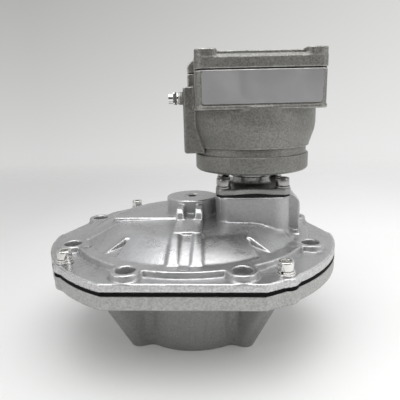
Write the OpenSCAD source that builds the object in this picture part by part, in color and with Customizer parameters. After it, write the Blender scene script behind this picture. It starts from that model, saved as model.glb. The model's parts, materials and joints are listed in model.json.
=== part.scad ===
// Full-immersion pulse valve for dust collector cleaning, with a flameproof pilot operator.
// The valve stands on its outlet tube. Z is up, the origin is on the floor below the valve axis.

/* [Flange] */
// Pitch circle of the eight tank bolts
bolt_pcd = 195; // [188:1:202]
// Bore of the eight tank bolt holes
bolt_hole_d = 13; // [9:0.5:14]
// Outer radius of the round sides of the flange
flange_r = 114.3; // [112:0.1:118]
// Distance from the valve axis to the front and back flats
flat_y = 102; // [99:0.5:106]
// Thickness of the lower flange
flange_t = 9.8; // [8:0.1:14]
// Distance of the cover screws from the round sides of the flange
screw_inset = 6.3; // [5.3:0.1:8.3]
// Turn of the cover screw pattern about the axis
screw_turn = 37; // [36:0.5:39]

/* [Valve body] */
// Height of the lower flange's underside over the foot
foot_h = 59.5; // [50:0.5:75]
// Outside diameter of the outlet tube
tube_od = 109; // [106:0.5:114]
// Bore of the outlet socket, a running fit on an 88.9 mm pipe
socket_d = 89.1; // [84:0.1:92]
// Depth of the outlet socket
socket_depth = 40; // [30:1:46]
// Bore of the throat above the socket
throat_d = 77; // [70:0.5:80]
// Thickness of the four webs
web_t = 15; // [10:0.5:18]
// Reach of a web at the foot
web_foot_r = 64; // [60:0.5:70]
// Inner radius of the flange ring
ring_r = 80; // [78:0.5:82]

/* [Diaphragm] */
// Thickness of the rubber diaphragm
rubber_t = 2.3; // [1.8:0.1:3.5]
// Diameter of the plate over the diaphragm
upper_plate_d = 92; // [80:1:98]
// Lift of the diaphragm's plates
lift = 10; // [6:0.5:11]

/* [Cover] */
// Thickness of the cover's flange
cover_t = 5.8; // [4.5:0.1:8]
// Height of the raised pad over the cover's flange
pad_h = 4.6; // [3:0.1:7]
// Radius of the dome's foot on the pad
dome_r = 86; // [84.5:0.5:86.5]
// Height of the dome over the pad
dome_h = 13.2; // [11:0.1:18]
// Diameter of the round spring boss
boss_d = 41.2; // [38:0.2:42]
// Height of the round spring boss over the pad
boss_h = 28.4; // [24:0.2:34]

/* [Pilot] */
// Distance of the pilot's axis from the valve axis
pilot_x = 48.5; // [47:0.5:50]
// Width of the square pedestal
pedestal_w = 57; // [55:0.5:60]
// Height of the pedestal over the pad
pedestal_h = 32.5; // [31:0.5:40]
// Thickness of the pilot gasket
gasket_t = 1.5; // [0.8:0.1:2.5]
// Thickness of the bonnet plate
bonnet_t = 4.8; // [4:0.1:8]
// Distance between the bonnet screws
bonnet_pitch = 44.6; // [42:0.2:46]
// Lift of the pilot core
core_lift = 1.5; // [0.8:0.1:2.5]

/* [Enclosure] */
// Turn of the enclosure about the pilot's axis
head_turn = 5; // [0:1:15]
// Radius of the enclosure's round base
base_r = 44.3; // [42:0.1:46]
// Radius of the round housing below the box
drum_r = 48.9; // [47.5:0.1:50]
// Width of the box part
box_w = 90; // [86:0.5:96]
// Depth of the box part
box_d = 95; // [92:0.5:100]
// Height of the box part under the lid
box_h = 26; // [22:0.5:34]
// Height of the lid at its corners
lid_h = 12.9; // [10:0.1:18]
// Thread core diameter of the cable entry
entry_d = 18.4; // [14:0.1:22]

/* [Hidden] */
$fn = 64;

// How far a cut runs past the face that it opens
past = 1;
// Gap between round parts that lie in each other and don't slide
loose = 0.15;
// Gap between a sliding shaft and its bore, on the radius
slide = 0.06;

// Levels of the stack, from the floor up
flange_top = foot_h + flange_t;
cover_z = flange_top + rubber_t;
cover_top = cover_z + cover_t;
pad_z = cover_top + pad_h;
crown_z = pad_z + dome_h;
boss_z = pad_z + boss_h;
pedestal_z = pad_z + pedestal_h;
plate_z = pedestal_z + gasket_t;
plate_top = plate_z + bonnet_t;

// The slanted flats behind the flange's sides
back_turn = 18.3;
back_flat = flange_r - 7.1;

// The eight tank bolts
bolt_count = 8;
bolt_r = bolt_pcd/2;
bolt_boss_r = bolt_hole_d/2 + 4;
pad_r = bolt_r - 0.3;

// The four cover screws: thread, head, washers and the ears around them
screw_r = flange_r - screw_inset;
m6 = 6;
m6_head_d = 10.2;
m6_head_h = 6;
m6_key = 5;
spring_washer_t = 1.6;
spring_washer_d = 11.4;
plain_washer_t = 1.6;
plain_washer_d = 12.4;
m6_hole = m6 + 0.6;
cover_screw_l = cover_t + rubber_t + flange_t + plain_washer_t + spring_washer_t - 2;
ear_r = 8.2;

// Outlet tube, webs and seat
tube_r = tube_od/2;
socket_r = socket_d/2;
throat_r = throat_d/2;
rim_r = throat_r + 6;
rim_z = flange_top - 0.3;
web_slope = 0.54;
web_top_z = flange_top - 5;
web_fillet = 5;
ring_sec = 2.1;
ring_r0 = socket_r + 0.1 + ring_sec;
ring_z = 14;

// Plates, bolt and spring of the diaphragm
plate_t = 3;
lower_plate_r = throat_r - 2;
bolt_d = 10;
bolt_head_r = 8;
bolt_head_h = 6;
upper_z = cover_z + plate_t;
lower_z = flange_top - plate_t;
nut_h = 8;
bolt_tip_z = lower_z - nut_h - 2;
spring_well_r = boss_d/2 - 5.4;
spring_well_z = boss_z - 10.5;
main_wire = 2.6;
main_coil_r = spring_well_r - main_wire/2 - 0.7;
bead_r = 2.2;
bead_ring_r = (upper_plate_d/2 + ring_r)/2;

// Shape of the dome: slope of its shoulder, radii of its rounds
wall_t = 5.5;
slope_run = 27;
skirt_w = 9;
skirt_h = 5.2;

// Pedestal, exhaust arch and passages
pedestal_d = pedestal_w + 3;
pedestal_round = 13.5;
arch_r = 11;
arch_x = pilot_x + pedestal_w/2 - 1.3;
arch_z = pedestal_z - arch_r - 0.3;
toe_reach = 33;
toe_r = 24;
arch_y0 = -12;
arch_y1 = 24;
exhaust_d = 11.6;
exhaust_l = 14;
exhaust_clear = 0.5;
exhaust_z = pad_z + 12.5;
well_r = 13;
well_depth = 8;
seat_hole_r = 4.5;
bleed_r = 3;
bleed_off = 9;
bonnet_hole_depth = 13;

// Bonnet, core tube and core
neck_r = 14.5;
collar_r = 17.5;
collar_h = 6;
m6b_head_h = 6;
base_z = plate_top + 12.7;
tube_out_r = 8;
tube_in_r = 6.8;
core_r = tube_in_r - slide;
core_z = pedestal_z - 1.5;
core_h = 30;
coil_z = base_z + 9.5;
coil_h = 40;
frame_t = 3.3;
bobbin_t = 2;
bobbin_r = tube_out_r + bobbin_t;
winding_r = 21.4;
nut_z = coil_z + coil_h + frame_t + 0.2;
tube_top = nut_z + 9;
fixed_z = core_z + core_h + core_lift + 0.1;

// Enclosure levels and walls
base_h = 12.8;
gap_h = 5.5;
drum_z = base_z + base_h + gap_h;
cone_h = 12;
box_z = drum_z + 28;
seal_z = box_z + box_h;
seal_t = 0.8;
lid_z = seal_z + seal_t;
lid_top = lid_z + lid_h;
corner_r = 6;
coil_well_r = 36;
box_wall = 6;
label_edge = 4.4;
label_t = 0.8;
lid_screw_x = box_w/2 - 7.5;
lid_screw_y = box_d/2 - 7.5;
hub_x = box_w/2 + 8.4;
hub_w = 40;
hub_z0 = box_z - 32;
hub_z1 = box_z + 16.5;
entry_z = (hub_z0 + hub_z1)/2;
side_pad_w = 26;
side_pad_t = 4.6;
earth_y = -13.5;
earth_z = hub_z1 - 8;
m4 = 4;
m5 = 5;

// Points on an arc in the plane, for profiles
function arc(c, r, a0, a1, n = 6) =
    [for (i = [0:n]) c + r*[cos(a0 + (a1 - a0)*i/n), sin(a0 + (a1 - a0)*i/n)]];

// Rectangle with round corners, centred
module round_rect(w, d, r) {
    square([w - 2*r, d], center = true);
    square([w, d - 2*r], center = true);
    for (x = [-1, 1], y = [-1, 1])
        translate([x*(w/2 - r), y*(d/2 - r)])
            circle(r);
}

// Ring from the height z0 up
module ring(r_out, r_in, z0, h) {
    translate([0, 0, z0])
        difference() {
            cylinder(r = r_out, h = h);
            translate([0, 0, -past])
                cylinder(r = r_in, h = h + 2*past);
        }
}

// Places at the eight tank bolts
module at_bolts() {
    for (i = [0:bolt_count - 1])
        rotate([0, 0, (i + 0.5)*360/bolt_count])
            translate([bolt_r, 0, 0])
                children();
}

// Places at the four cover screws
module at_screws() {
    for (i = [0:3])
        rotate([0, 0, screw_turn + 90*i])
            translate([screw_r, 0, 0])
                children();
}

// Places at the four bonnet screws
module at_bonnet_screws() {
    for (x = [-1, 1], y = [-1, 1])
        translate([pilot_x + x*bonnet_pitch/2, y*bonnet_pitch/2, 0])
            children();
}

// The pilot's axis
module at_pilot() {
    translate([pilot_x, 0, 0])
        children();
}

// The enclosure's own frame, turned about the pilot's axis
module at_head() {
    at_pilot()
        rotate([0, 0, head_turn])
            children();
}

// Socket-head screw hanging down from its seat at z = 0
module socket_screw(d, head_d, head_h, key, length) {
    translate([0, 0, -length])
        cylinder(d = d, h = length + past);
    difference() {
        union() {
            cylinder(d = head_d, h = head_h - 0.4);
            translate([0, 0, head_h - 0.4])
                cylinder(d1 = head_d, d2 = head_d - 0.8, h = 0.4);
        }
        translate([0, 0, head_h*0.4])
            cylinder(d = key/cos(30), h = head_h, $fn = 6);
    }
}

// Split spring washer with its foot at z = 0
module spring_washer(d_out, d_in, t) {
    difference() {
        ring(d_out/2, d_in/2, 0, t);
        rotate([25, 0, 0])
            translate([d_out/4, 0, 0])
                cube([d_out/2 + past, 0.8, 4*t], center = true);
    }
}

// Round wire coiled between two levels, with its end turns closed
module coil_spring(coil_r, wire, z0, z1, turns, sides = 8, steps = 18) {
    n = turns*steps;
    span = z1 - z0 - wire;
    // Height share of the wire at step i: half a turn lies flat at each end
    function rise(i) = min(1, max(0, (i/steps - 0.6)/(turns - 1.2)));
    pts = [for (i = [0:n], k = [0:sides - 1])
        let (a = 360*i/steps, b = 360*k/sides,
            r = coil_r + wire/2*cos(b))
        [r*cos(a), r*sin(a), z0 + wire/2 + span*rise(i) + wire*0.9*(i/n - rise(i))
            + wire/2*sin(b)]];
    sides_f = [for (i = [0:n - 1], k = [0:sides - 1])
        let (q = (k + 1) % sides)
        [i*sides + k, i*sides + q, (i + 1)*sides + q, (i + 1)*sides + k]];
    ends = [[for (k = [sides - 1:-1:0]) k], [for (k = [0:sides - 1]) n*sides + k]];
    polyhedron(points = pts, faces = concat(sides_f, ends), convexity = 8);
}

// Plan outline that the body, the diaphragm and the cover share
module flange_plan() {
    difference() {
        intersection() {
            circle(flange_r, $fn = 180);
            square([2*flange_r, 2*flat_y], center = true);
        }
        for (side = [0, 1])
            mirror([side, 0])
                intersection() {
                    translate([0, past/20])
                        square(2*flange_r);
                    rotate(back_turn)
                        translate([back_flat, -flange_r])
                            square([flange_r, 2*flange_r]);
                }
    }
    for (i = [0:3])
        rotate(screw_turn + 90*i)
            translate([screw_r, 0])
                circle(ear_r);
}

module bolt_holes(z0, h) {
    at_bolts()
        translate([0, 0, z0])
            cylinder(d = bolt_hole_d, h = h);
}

module screw_holes(d, z0, h) {
    at_screws()
        translate([0, 0, z0])
            cylinder(d = d, h = h);
}

// One web, along +X: a slab with a crowned, leaning outer edge
module web() {
    half_t = web_t/2;
    nose_r = half_t + 0.7;
    lean = atan(web_slope);
    intersection() {
        union() {
            translate([0, half_t, 0])
                rotate([90, 0, 0])
                    linear_extrude(web_t)
                        polygon([[throat_r + 8, 0], [web_foot_r - nose_r, 0],
                            [web_foot_r - nose_r + web_slope*web_top_z, web_top_z],
                            [rim_r - 2, web_top_z]]);
            translate([web_foot_r - nose_r, 0, 0])
                rotate([0, lean, 0])
                    translate([0, 0, -2*nose_r])
                        cylinder(r = nose_r, h = foot_h + 6*nose_r);
        }
        translate([throat_r, -half_t, 0])
            cube([flange_r, web_t, web_top_z]);
    }
}

// Round corner between the tube and both sides of a web
module web_corners() {
    c = [sqrt(pow(tube_r + web_fillet, 2) - pow(web_t/2 + web_fillet, 2)), web_t/2 + web_fillet];
    toe = c*tube_r/(tube_r + web_fillet);
    for (side = [0, 1])
        mirror([0, side, 0])
            linear_extrude(foot_h)
                difference() {
                    polygon([[tube_r - 6, 0], [c[0], 0], [c[0], web_t/2], c, toe]);
                    translate(c)
                        circle(web_fillet);
                }
}

module valve_body() {
    color("silver")
    difference() {
        union() {
            translate([0, 0, foot_h])
                linear_extrude(flange_t)
                    difference() {
                        flange_plan();
                        circle(ring_r);
                    }
            rotate_extrude($fn = 128)
                polygon([[throat_r - past, 0], [tube_r - 1.5, 0], [tube_r, 1.5],
                    [tube_r, foot_h - 14], [tube_r - 2, foot_h - 8], [rim_r, rim_z - 6],
                    [rim_r, rim_z - 1], [rim_r - 1, rim_z], [throat_r + 1.5, rim_z],
                    [throat_r - past, rim_z - 2]]);
            for (i = [0:3])
                rotate([0, 0, 45 + 90*i]) {
                    web();
                    web_corners();
                }
        }
        translate([0, 0, -past])
            cylinder(r = socket_r, h = socket_depth + past);
        translate([0, 0, -0.01])
            cylinder(r1 = socket_r + 1.5, r2 = socket_r, h = 1.5);
        translate([0, 0, socket_depth - past])
            cylinder(r = throat_r, h = rim_z);
        ring(ring_r0 + ring_sec + 0.05, socket_r - past, ring_z - ring_sec - 0.05, 2*ring_sec + 0.1);
        bolt_holes(foot_h - past, flange_t + 2*past);
        screw_holes(m6 + 0.1, foot_h - past, flange_t + 2*past);
    }
}

module outlet_o_ring() {
    color("black")
        rotate_extrude($fn = 96)
            translate([ring_r0, ring_z])
                circle(ring_sec, $fn = 24);
}

// Rubber sheet with one raised bead, clamped all round between the flanges
module main_diaphragm() {
    color("dimgray")
    translate([0, 0, flange_top])
        difference() {
            union() {
                linear_extrude(rubber_t)
                    flange_plan();
                rotate_extrude($fn = 96)
                    polygon(arc([bead_ring_r, rubber_t], bead_r + rubber_t, 0, 180, 10));
            }
            rotate_extrude($fn = 96)
                polygon(concat(arc([bead_ring_r, rubber_t], bead_r, 0, 180, 10),
                    [[bead_ring_r - bead_r, -past], [bead_ring_r + bead_r, -past]]));
            translate([0, 0, -past])
                cylinder(d = bolt_d, h = rubber_t + 2*past);
            bolt_holes(-past, rubber_t + 2*past);
            screw_holes(m6_hole, -past, rubber_t + 2*past);
        }
}

module lower_plate() {
    color("silver")
    difference() {
        union() {
            translate([0, 0, lower_z])
                cylinder(r = lower_plate_r, h = plate_t);
            translate([0, 0, lower_z - 2])
                cylinder(r1 = 15, r2 = 19, h = 2);
        }
        translate([0, 0, lower_z - 2 - past])
            cylinder(d = bolt_d + loose, h = plate_t + 2 + 2*past);
    }
}

// Dished plate over the diaphragm, with a raised ring that centres the spring
module upper_plate() {
    seat_r = main_coil_r - main_wire/2 - 0.4;
    color("silver")
    rotate_extrude($fn = 96)
        polygon([[bolt_d/2 + loose/2, cover_z], [upper_plate_d/2 - 2, cover_z],
            [upper_plate_d/2, cover_z + 2], [upper_plate_d/2 + 0.5, cover_z + 4.5],
            [upper_plate_d/2 - 1.8, cover_z + 4.5], [upper_plate_d/2 - 2.6, upper_z],
            [seat_r, upper_z], [seat_r, upper_z + 1.5], [bolt_d/2 + loose/2, upper_z + 1.5]]);
}

module centre_bolt() {
    color("gainsboro") {
        translate([0, 0, bolt_tip_z])
            cylinder(d = bolt_d, h = upper_z + 1.5 - bolt_tip_z);
        translate([0, 0, upper_z + 1.5])
            cylinder(r = bolt_head_r, h = bolt_head_h, $fn = 6);
    }
}

module centre_nut() {
    color("gainsboro")
    translate([0, 0, lower_z - 2 - nut_h + 1.5])
        difference() {
            cylinder(r = bolt_head_r, h = nut_h - 1.5, $fn = 6);
            translate([0, 0, -past])
                cylinder(d = bolt_d + loose, h = nut_h + 2*past);
        }
}

module main_spring() {
    color("lightsteelblue")
        coil_spring(main_coil_r, main_wire, upper_z, spring_well_z, 5);
}

// Outer profile of the dome from the axis out, lifted by h
function dome_profile(h) = concat(
    [[0, crown_z + h], [dome_r - skirt_w - slope_run - 8, crown_z + h - 0.4]],
    arc([dome_r - skirt_w - slope_run, crown_z + h - 31], 30, 90, 72, 4),
    arc([dome_r - skirt_w - 4.4, pad_z + skirt_h - 4.5 + h], 6, 62, 42, 3),
    arc([dome_r + h*0.4, pad_z + 9], 9, 228, 270, 6));

module dome_solid(h, foot_z) {
    rotate_extrude($fn = 160)
        polygon(concat([[0, foot_z]], dome_profile(h), [[dome_r + h*0.4, foot_z]]));
}

// Buttress along +X that runs from the dome's shoulder down to its foot
module buttress(w) {
    translate([0, w/2, 0])
        rotate([90, 0, 0])
            linear_extrude(w)
                polygon([[dome_r - 30, pad_z - 1], [dome_r - 30, crown_z - 2.2],
                    [dome_r - 20, crown_z - 2.6], [dome_r - 1, pad_z + 1.2],
                    [dome_r + 1.5, pad_z], [dome_r + 1.5, pad_z - 1]]);
}

// Lug in front of the spring boss, with a slot in its top and a sloped foot
module lug() {
    half_w = 9.8;
    slot_w = 8.6;
    slot_depth = 7;
    lug_top = boss_z - 3.2;
    toe_y = -(dome_r - 29);
    difference() {
        translate([-half_w, 0, 0])
            rotate([90, 0, 90])
                linear_extrude(2*half_w)
                    polygon([[-boss_d/2 + 4, pad_z + 6], [-boss_d/2 + 4, lug_top],
                        [-boss_d/2 - 12, lug_top], [-boss_d/2 - 14.6, lug_top - 2.6],
                        [-boss_d/2 - 16.5, crown_z + 4.2], [toe_y, crown_z + 1.2],
                        [toe_y - 0.6, pad_z + 8], [toe_y - 0.6, pad_z + 6]]);
        translate([0, -boss_d/2 - 30, lug_top])
            rotate([-90, 0, 0])
                linear_extrude(30.5)
                    round_rect(slot_w, 2*slot_depth, 2);
    }
}

// Two ribs that run down the front of the dome from the lug
module front_ribs() {
    intersection() {
        dome_solid(1.5, pad_z - 1);
        for (side = [-1, 1])
            translate([side*8.1 - 2.9, -dome_r - 2, pad_z - 1])
                cube([5.8, 30, dome_h + 4]);
    }
}

// Bar beside the spring boss that holds the bleed passage
module bleed_bar() {
    translate([-58, -19.5, pad_z])
        cube([50, 11.5, dome_h + 1.6]);
    translate([-58, -13.75, pad_z])
        cylinder(r = 5.75, h = dome_h + 1.6);
}

module pedestal() {
    at_pilot()
        translate([0, 0, pad_z - 2])
            linear_extrude(pedestal_h + 2)
                round_rect(pedestal_w, pedestal_d, pedestal_round);
}

// Toe that runs from the pedestal's front corner out to the pad
module pedestal_toe() {
    translate([pilot_x + pedestal_w/2 - pedestal_round, -pedestal_d/2 + pedestal_round, 0])
        rotate([0, 0, -72])
            translate([0, 8.5, 0])
                rotate([90, 0, 0])
                    linear_extrude(17)
                        difference() {
                            translate([0, pad_z - 1])
                                square([toe_reach, toe_r/2]);
                            translate([toe_reach, pad_z + toe_r])
                                circle(toe_r);
                            translate([toe_reach - 0.5, pad_z])
                                square([4, toe_r]);
                        }
}

// Arch beside the pedestal, along Y, that ends in the exhaust port
module exhaust_arch() {
    translate([arch_x, arch_y1, arch_z])
        rotate([90, 0, 0])
            cylinder(r = arch_r, h = arch_y1 - arch_y0);
    translate([arch_x - arch_r, arch_y0, pad_z - 1])
        cube([2*arch_r, arch_y1 - arch_y0, arch_z - pad_z + 1]);
    translate([arch_x - arch_r, arch_y0 - 9, pad_z - 1])
        cube([2*arch_r - 0.8, arch_y1 - arch_y0 + 12, 2.6]);
}

// Half-round nubs around the dome's foot
module nubs() {
    for (i = [0:5])
        rotate([0, 0, -90 + 60*i])
            translate([dome_r + 4.6, 0, pad_z - 1])
                cylinder(r = 3.8, h = 1.8);
}

module cover() {
    color("silver")
    difference() {
        union() {
            translate([0, 0, cover_z])
                linear_extrude(cover_t)
                    flange_plan();
            translate([0, 0, cover_top - past])
                cylinder(r = pad_r, h = pad_h + past, $fn = 160);
            at_bolts()
                translate([0, 0, cover_top - past])
                    cylinder(r = bolt_boss_r, h = pad_h + past);
            dome_solid(0, pad_z - past);
            translate([0, 0, pad_z])
                cylinder(d = boss_d, h = boss_h - 1);
            translate([0, 0, boss_z - 1])
                cylinder(d1 = boss_d, d2 = boss_d - 2, h = 1);
            for (a = [-45, -135, 45, 135])
                rotate([0, 0, a])
                    buttress(11);
            for (a = [15, -165, 165])
                rotate([0, 0, a])
                    buttress(17);
            lug();
            front_ribs();
            bleed_bar();
            pedestal();
            pedestal_toe();
            exhaust_arch();
            nubs();
        }
        // Chamber over the diaphragm and well of the main spring
        rotate_extrude($fn = 128)
            polygon([[0, cover_z - past], [ring_r - 2, cover_z - past], [ring_r - 2, cover_z],
                [ring_r - 5, pad_z - 2], [dome_r - slope_run, crown_z - wall_t - 3.5],
                [dome_r - slope_run - 15, crown_z - wall_t], [0, crown_z - wall_t]]);
        translate([0, 0, cover_z])
            cylinder(r = spring_well_r, h = spring_well_z - cover_z);
        // Tapped hole of the plug
        translate([0, 0, spring_well_z - past])
            cylinder(d = 13.2, h = 20);
        bolt_holes(cover_z - past, cover_t + pad_h + 2*past);
        screw_holes(m6_hole, cover_z - past, cover_t + pad_h + 2*past);
        // Pilot well, bleed passage, seat hole and exhaust
        translate([pilot_x, 0, pedestal_z - well_depth])
            cylinder(r = well_r, h = well_depth + past);
        translate([pilot_x - bleed_off, 0, cover_z])
            cylinder(r = bleed_r, h = pedestal_z - cover_z);
        translate([pilot_x, 0, exhaust_z])
            cylinder(r = seat_hole_r, h = pedestal_z - exhaust_z);
        translate([pilot_x, 0, exhaust_z])
            rotate([0, 90, 0])
                cylinder(r = bleed_r, h = arch_x - pilot_x);
        translate([arch_x, 0, exhaust_z])
            rotate([-90, 0, 0])
                cylinder(r = bleed_r, h = arch_y1 - past);
        translate([arch_x, arch_y1 - exhaust_l, exhaust_z])
            rotate([-90, 0, 0])
                cylinder(d = exhaust_d, h = exhaust_l + past);
        // Clear way into the exhaust hole past the corner of the pedestal
        translate([arch_x, arch_y1, exhaust_z])
            rotate([-90, 0, 0])
                cylinder(d = exhaust_d + 2*exhaust_clear, h = pedestal_d/2 - arch_y1 + past);
        at_bonnet_screws()
            translate([0, 0, pedestal_z - bonnet_hole_depth])
                cylinder(d = m6 + 0.1, h = bonnet_hole_depth + past);
    }
}

module cover_washers() {
    color("lightgray")
    at_screws()
        ring(plain_washer_d/2, m6/2 + 0.2, cover_top, plain_washer_t);
}

module cover_spring_washers() {
    color("lightgray")
    at_screws()
        translate([0, 0, cover_top + plain_washer_t])
            spring_washer(spring_washer_d, m6 + 0.3, spring_washer_t);
}

module cover_screws() {
    color("white")
    at_screws()
        translate([0, 0, cover_top + plain_washer_t + spring_washer_t])
            socket_screw(m6, m6_head_d, m6_head_h, m6_key, cover_screw_l);
}

// Socket pipe plug, flush with the spring boss
module cover_plug() {
    color("gray")
    difference() {
        translate([0, 0, spring_well_z + 0.6])
            cylinder(d = 13.1, h = boss_z - spring_well_z - 0.9);
        translate([0, 0, boss_z - 6])
            cylinder(d = 6.4/cos(30), h = 8, $fn = 6);
    }
}

// Plan of the bonnet plate: four ears joined by hollowed sides
module bonnet_plan() {
    ear = (pedestal_w - bonnet_pitch)/2;
    difference() {
        round_rect(pedestal_w, pedestal_w, ear);
        for (a = [0, 90, 180, 270])
            rotate(a)
                translate([pedestal_w/2 + 28, 0])
                    circle(30.2, $fn = 96);
    }
}

module pilot_gasket() {
    color("black")
    translate([0, 0, pedestal_z])
        linear_extrude(gasket_t)
            difference() {
                translate([pilot_x, 0])
                    round_rect(pedestal_w - 0.6, pedestal_w - 0.6, 7);
                translate([pilot_x, 0])
                    circle(well_r);
                for (x = [-1, 1], y = [-1, 1])
                    translate([pilot_x + x*bonnet_pitch/2, y*bonnet_pitch/2])
                        circle(m6/2 + 0.2);
            }
}

module pilot_bonnet() {
    color("darkgray")
    difference() {
        union() {
            at_pilot() {
                translate([0, 0, plate_z])
                    linear_extrude(bonnet_t)
                        bonnet_plan();
                translate([0, 0, plate_top - past])
                    cylinder(r1 = neck_r + 3, r2 = neck_r, h = 3 + past);
                translate([0, 0, plate_top])
                    cylinder(r = neck_r, h = base_z - plate_top);
                translate([0, 0, base_z - collar_h])
                    cylinder(r = collar_r, h = collar_h);
            }
        }
        translate([pilot_x, 0, plate_z - past])
            cylinder(r = tube_out_r + loose, h = base_z - plate_z + 2*past);
        at_bonnet_screws()
            translate([0, 0, plate_z - past])
                cylinder(d = m6_hole, h = bonnet_t + 2*past);
    }
}

module bonnet_washers() {
    color("lightgray")
    at_bonnet_screws()
        translate([0, 0, plate_top])
            spring_washer(spring_washer_d, m6 + 0.3, spring_washer_t);
}

module bonnet_screws() {
    color("white")
    at_bonnet_screws()
        translate([0, 0, plate_top + spring_washer_t])
            socket_screw(m6, m6_head_d, m6b_head_h, m6_key, bonnet_t + gasket_t + spring_washer_t + 12);
}

// Turned insert with a raised orifice, pressed into the floor of the pilot well
module pilot_seat() {
    color("gold")
    translate([pilot_x, 0, 0])
        difference() {
            union() {
                translate([0, 0, pedestal_z - well_depth - 7])
                    cylinder(r = seat_hole_r - 0.05, h = 7);
                translate([0, 0, pedestal_z - well_depth])
                    cylinder(r = 6, h = 2);
                translate([0, 0, pedestal_z - well_depth + 2])
                    cylinder(r1 = 4, r2 = 2.6, h = core_z - pedestal_z + well_depth - 2);
            }
            translate([0, 0, pedestal_z - well_depth - 8])
                cylinder(r = 1.6, h = well_depth + 8);
        }
}

module core_tube() {
    color("lightgray")
    at_pilot() {
        ring(tube_out_r, tube_in_r, plate_z, tube_top - plate_z);
        ring(well_r - 1, tube_in_r, pedestal_z - 2.2, plate_z - pedestal_z + 2.2);
    }
}

// Fixed core that closes the top of the tube
module fixed_core() {
    color("lightgray")
    at_pilot()
        translate([0, 0, fixed_z])
            cylinder(r = tube_in_r - 0.02, h = tube_top - fixed_z);
}

// Plunger with a blind hole for its spring and a recess for its rubber seal
module core() {
    color("lightsteelblue")
    at_pilot()
        difference() {
            translate([0, 0, core_z])
                cylinder(r = core_r, h = core_h);
            translate([0, 0, core_z - past])
                cylinder(r = 4.2, h = 3 + past);
            translate([0, 0, core_z + core_h - 16])
                cylinder(r = 3.2, h = 16 + past);
        }
}

module core_seal() {
    color("black")
    translate([pilot_x, 0, core_z])
        cylinder(r = 4.15, h = 2.95);
}

module core_spring() {
    color("lightsteelblue")
    at_pilot()
        coil_spring(2.4, 0.7, core_z + core_h - 16, fixed_z, 7, 6, 10);
}

module retaining_nut() {
    color("gainsboro")
    at_pilot()
        difference() {
            translate([0, 0, nut_z])
                cylinder(r = 13, h = 6, $fn = 6);
            translate([0, 0, coil_z])
                cylinder(r = tube_out_r + 0.05, h = 2*coil_h);
        }
}

// Round base of the enclosure: floor, rim, dark groove and the spigot into the housing
module enclosure_base() {
    spigot_r = coil_well_r + 3.6;
    color("gray")
    at_head()
        rotate_extrude($fn = 128)
            polygon([[tube_out_r + 0.3, base_z], [base_r - 1.6, base_z],
                [base_r, base_z + 1.6], [base_r, base_z + base_h - 0.6],
                [base_r - 0.6, base_z + base_h], [base_r - 1.8, base_z + base_h],
                [base_r - 1.8, drum_z], [spigot_r, drum_z], [spigot_r, drum_z + 6],
                [coil_well_r, drum_z + 6], [coil_well_r, coil_z - frame_t],
                [tube_out_r + 0.3, coil_z - frame_t]]);
}

module enclosure_plan() {
    round_rect(box_w, box_d, corner_r);
}

// Pad on the cable side that runs over the housing and the lid
module side_pad(z0, h) {
    translate([-box_w/2 - side_pad_t, -side_pad_w/2, z0])
        cube([side_pad_t + 2, side_pad_w, h]);
}

// Block on the cable side, with bevelled edges round its face
module cable_hub() {
    bevel = 1.2;
    h = hub_z1 - hub_z0;
    difference() {
        translate([-hub_x, -hub_w/2, hub_z0])
            cube([hub_x - 20, hub_w, h]);
        for (y = [-1, 1])
            translate([-hub_x, y*hub_w/2, hub_z0 + h/2])
                rotate([0, 0, 45])
                    cube([bevel*sqrt(2), bevel*sqrt(2), h + 2*past], center = true);
        for (z = [hub_z0, hub_z1])
            translate([-hub_x, 0, z])
                rotate([0, 45, 0])
                    cube([bevel*sqrt(2), hub_w + 2*past, bevel*sqrt(2)], center = true);
    }
}

module enclosure_housing() {
    color("darkgray")
    at_head()
        difference() {
            union() {
                rotate_extrude($fn = 160)
                    polygon([[coil_well_r, drum_z], [base_r + 0.2, drum_z],
                        [base_r + 0.4, drum_z + 1.5], [drum_r - 0.7, drum_z + cone_h],
                        [drum_r, drum_z + cone_h + 5], [drum_r, box_z + 1.5],
                        [drum_r - 1.5, box_z + 3], [coil_well_r, box_z + 3]]);
                translate([0, 0, box_z])
                    linear_extrude(2.4)
                        round_rect(box_w + 1.2, box_d + 1.2, corner_r + 0.6);
                translate([0, 0, box_z])
                    linear_extrude(box_h)
                        enclosure_plan();
                cable_hub();
                side_pad(hub_z1 - 2, seal_z - hub_z1 + 2);
                translate([-hub_x, earth_y, earth_z])
                    rotate([0, -90, 0])
                        cylinder(r = 4.6, h = 3.4);
            }
            translate([0, 0, hub_z0 - past])
                cylinder(r = base_r - 1.5, h = drum_z - hub_z0 + past);
            translate([0, 0, drum_z - past])
                cylinder(r = coil_well_r, h = 80);
            translate([0, 0, drum_z - past])
                cylinder(r = coil_well_r + 3.6 + loose, h = 6.3 + past);
            translate([0, 0, box_z + 5])
                linear_extrude(box_h)
                    difference() {
                        round_rect(box_w - 2*box_wall, box_d - 2*box_wall, 4);
                        for (x = [-1, 1], y = [-1, 1])
                            translate([x*lid_screw_x, y*lid_screw_y])
                                circle(7.2);
                    }
            for (x = [-1, 1], y = [-1, 1])
                translate([x*lid_screw_x, y*lid_screw_y, seal_z - 14])
                    cylinder(d = m5 + 0.1, h = 14 + past);
            translate([-hub_x - past, 0, entry_z])
                rotate([0, 90, 0])
                    cylinder(d = entry_d, h = hub_x - coil_well_r + 6);
            translate([-hub_x - 3.4 - past, earth_y, earth_z])
                rotate([0, 90, 0])
                    cylinder(d = m4 + 0.1, h = 11 + past);
        }
}

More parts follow.
